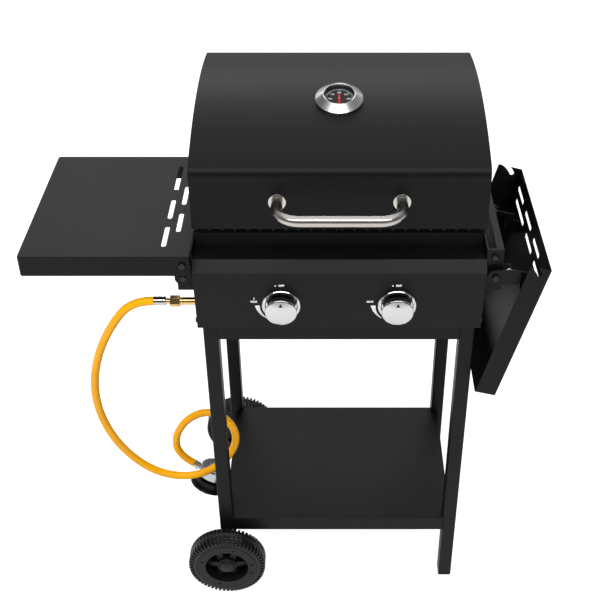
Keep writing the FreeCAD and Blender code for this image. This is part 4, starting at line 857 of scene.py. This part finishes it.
def dark_sleeve():
    """Black inside wall between the dial and its glass."""
    place, up, axis = dial_face()
    glass, _ = levels("thermometer_glass", place, axis)
    low, high = 0.1, glass - 0.1
    mesh = lathe("dial_sleeve", [(24.2, low), (24.9, low), (24.9, high), (24.2, high)], closed=True)
    dress(shown("dial_sleeve", seat(mesh, place, axis, up)), "dial", body_of("thermometer_dial"))


dial_marks()
needle()
dark_sleeve()

# ------------------------------------------------------------------ studio
FLOOR_HALF = 40.0           # metres
WHITE = (1.0, 1.0, 1.0)
FLOOR_GREY = (0.50, 0.50, 0.50)
FLOOR_GLOW = 0.9            # as the camera sees it
FLOOR_MIRRORED = 0.42       # as bright parts mirror it
CANOPY_WAY = (0.0, 0.574, 0.819)
CANOPY = ((0.0, 0.30), (0.12, 0.15), (0.28, 0.85), (1.0, 1.0))
UP_WAY = (0.0, 0.0, 1.0)
HEIGHT = ((0.0, 0.45), (0.48, 0.20), (0.66, 0.30), (0.84, 0.92))


def softbox(name, at, aim, size, power, mirrored=False):
    """Rectangular light, in metres and watts; only a mirrored one shows in bright metal."""
    data = bpy.data.lights.new(name, "AREA")
    data.shape = "RECTANGLE"
    data.size, data.size_y = size
    data.energy = power
    lamp = shown(name, data)
    lamp.location = at
    lamp.visible_glossy = mirrored
    lamp.rotation_euler = (Vector(aim) - Vector(at)).to_track_quat("-Z", "Y").to_euler()


def white_floor():
    """Paper floor that the camera sees nearly white and bright parts mirror darker."""
    corners = [(x * FLOOR_HALF, y * FLOOR_HALF, 0) for x, y in ((-1, -1), (1, -1), (1, 1), (-1, 1))]
    floor = shown("floor", bpy.data.meshes.new("floor"))
    floor.data.from_pydata(corners, [], [(0, 1, 2, 3)])
    paper = Finish("white floor", FLOOR_GREY, 0.9)
    camera, through, glossy = paper.node(
        "ShaderNodeLightPath", {}, out=["Is Camera Ray", "Is Transmission Ray", "Is Glossy Ray"])
    strength = (camera.most(through) * FLOOR_GLOW).most(glossy * FLOOR_MIRRORED)
    glow = paper.node("ShaderNodeEmission", {}, WHITE, strength)
    both = paper.node("ShaderNodeAddShader", {}, glow, Field(paper, paper.surface.outputs[0]))
    paper.feed(paper.tree.nodes["Material Output"].inputs["Surface"], both)
    floor.data.materials.append(paper.material)


def studio_world():
    """Bright overhead and behind, dim in front, with plain white for the camera."""
    world = bpy.data.worlds.new("studio")
    bpy.context.scene.world = world
    world.use_nodes = True
    sky = Nodes(world.node_tree)
    sky.tree.nodes.clear()
    camera, through = sky.node("ShaderNodeLightPath", {}, out=["Is Camera Ray", "Is Transmission Ray"])
    way = sky.node("ShaderNodeTexCoord", {}, out=["Generated"])[0]

    def toward(direction, stops):
        """Brightness by how nearly a ray points along one direction."""
        nearness = sky.node("ShaderNodeVectorMath", {"operation": "DOT_PRODUCT"}, way, direction)
        return sky.node("ShaderNodeValToRGB", {"stops": stops}, nearness)

    shade = sky.node("ShaderNodeVectorMath", {"operation": "MULTIPLY"},
                     toward(CANOPY_WAY, CANOPY), toward(UP_WAY, HEIGHT))
    light = sky.node("ShaderNodeBackground", {}, shade)
    white = sky.node("ShaderNodeBackground", {}, WHITE)
    seen = sky.node("ShaderNodeMixShader", {}, camera.most(through), light, white)
    sky.node("ShaderNodeOutputWorld", {}, seen)


white_floor()
studio_world()
softbox("back", at=(0.0, 2.0, 2.15), aim=(0.0, 0.0, 0.8), size=(3.2, 0.6), power=15.0, mirrored=True)
softbox("overhead", at=(0.0, -1.05, 2.1), aim=(0.0, -0.19, 0.76), size=(2.6, 0.55), power=14.0, mirrored=True)
softbox("left", at=(-2.0, -1.9, 2.1), aim=(0.0, 0.0, 0.5), size=(1.3, 1.7), power=50.0)
softbox("right", at=(1.7, -2.3, 2.2), aim=(0.0, 0.0, 0.5), size=(1.2, 1.4), power=30.0)
bpy.context.scene.view_settings.view_transform = "Standard"
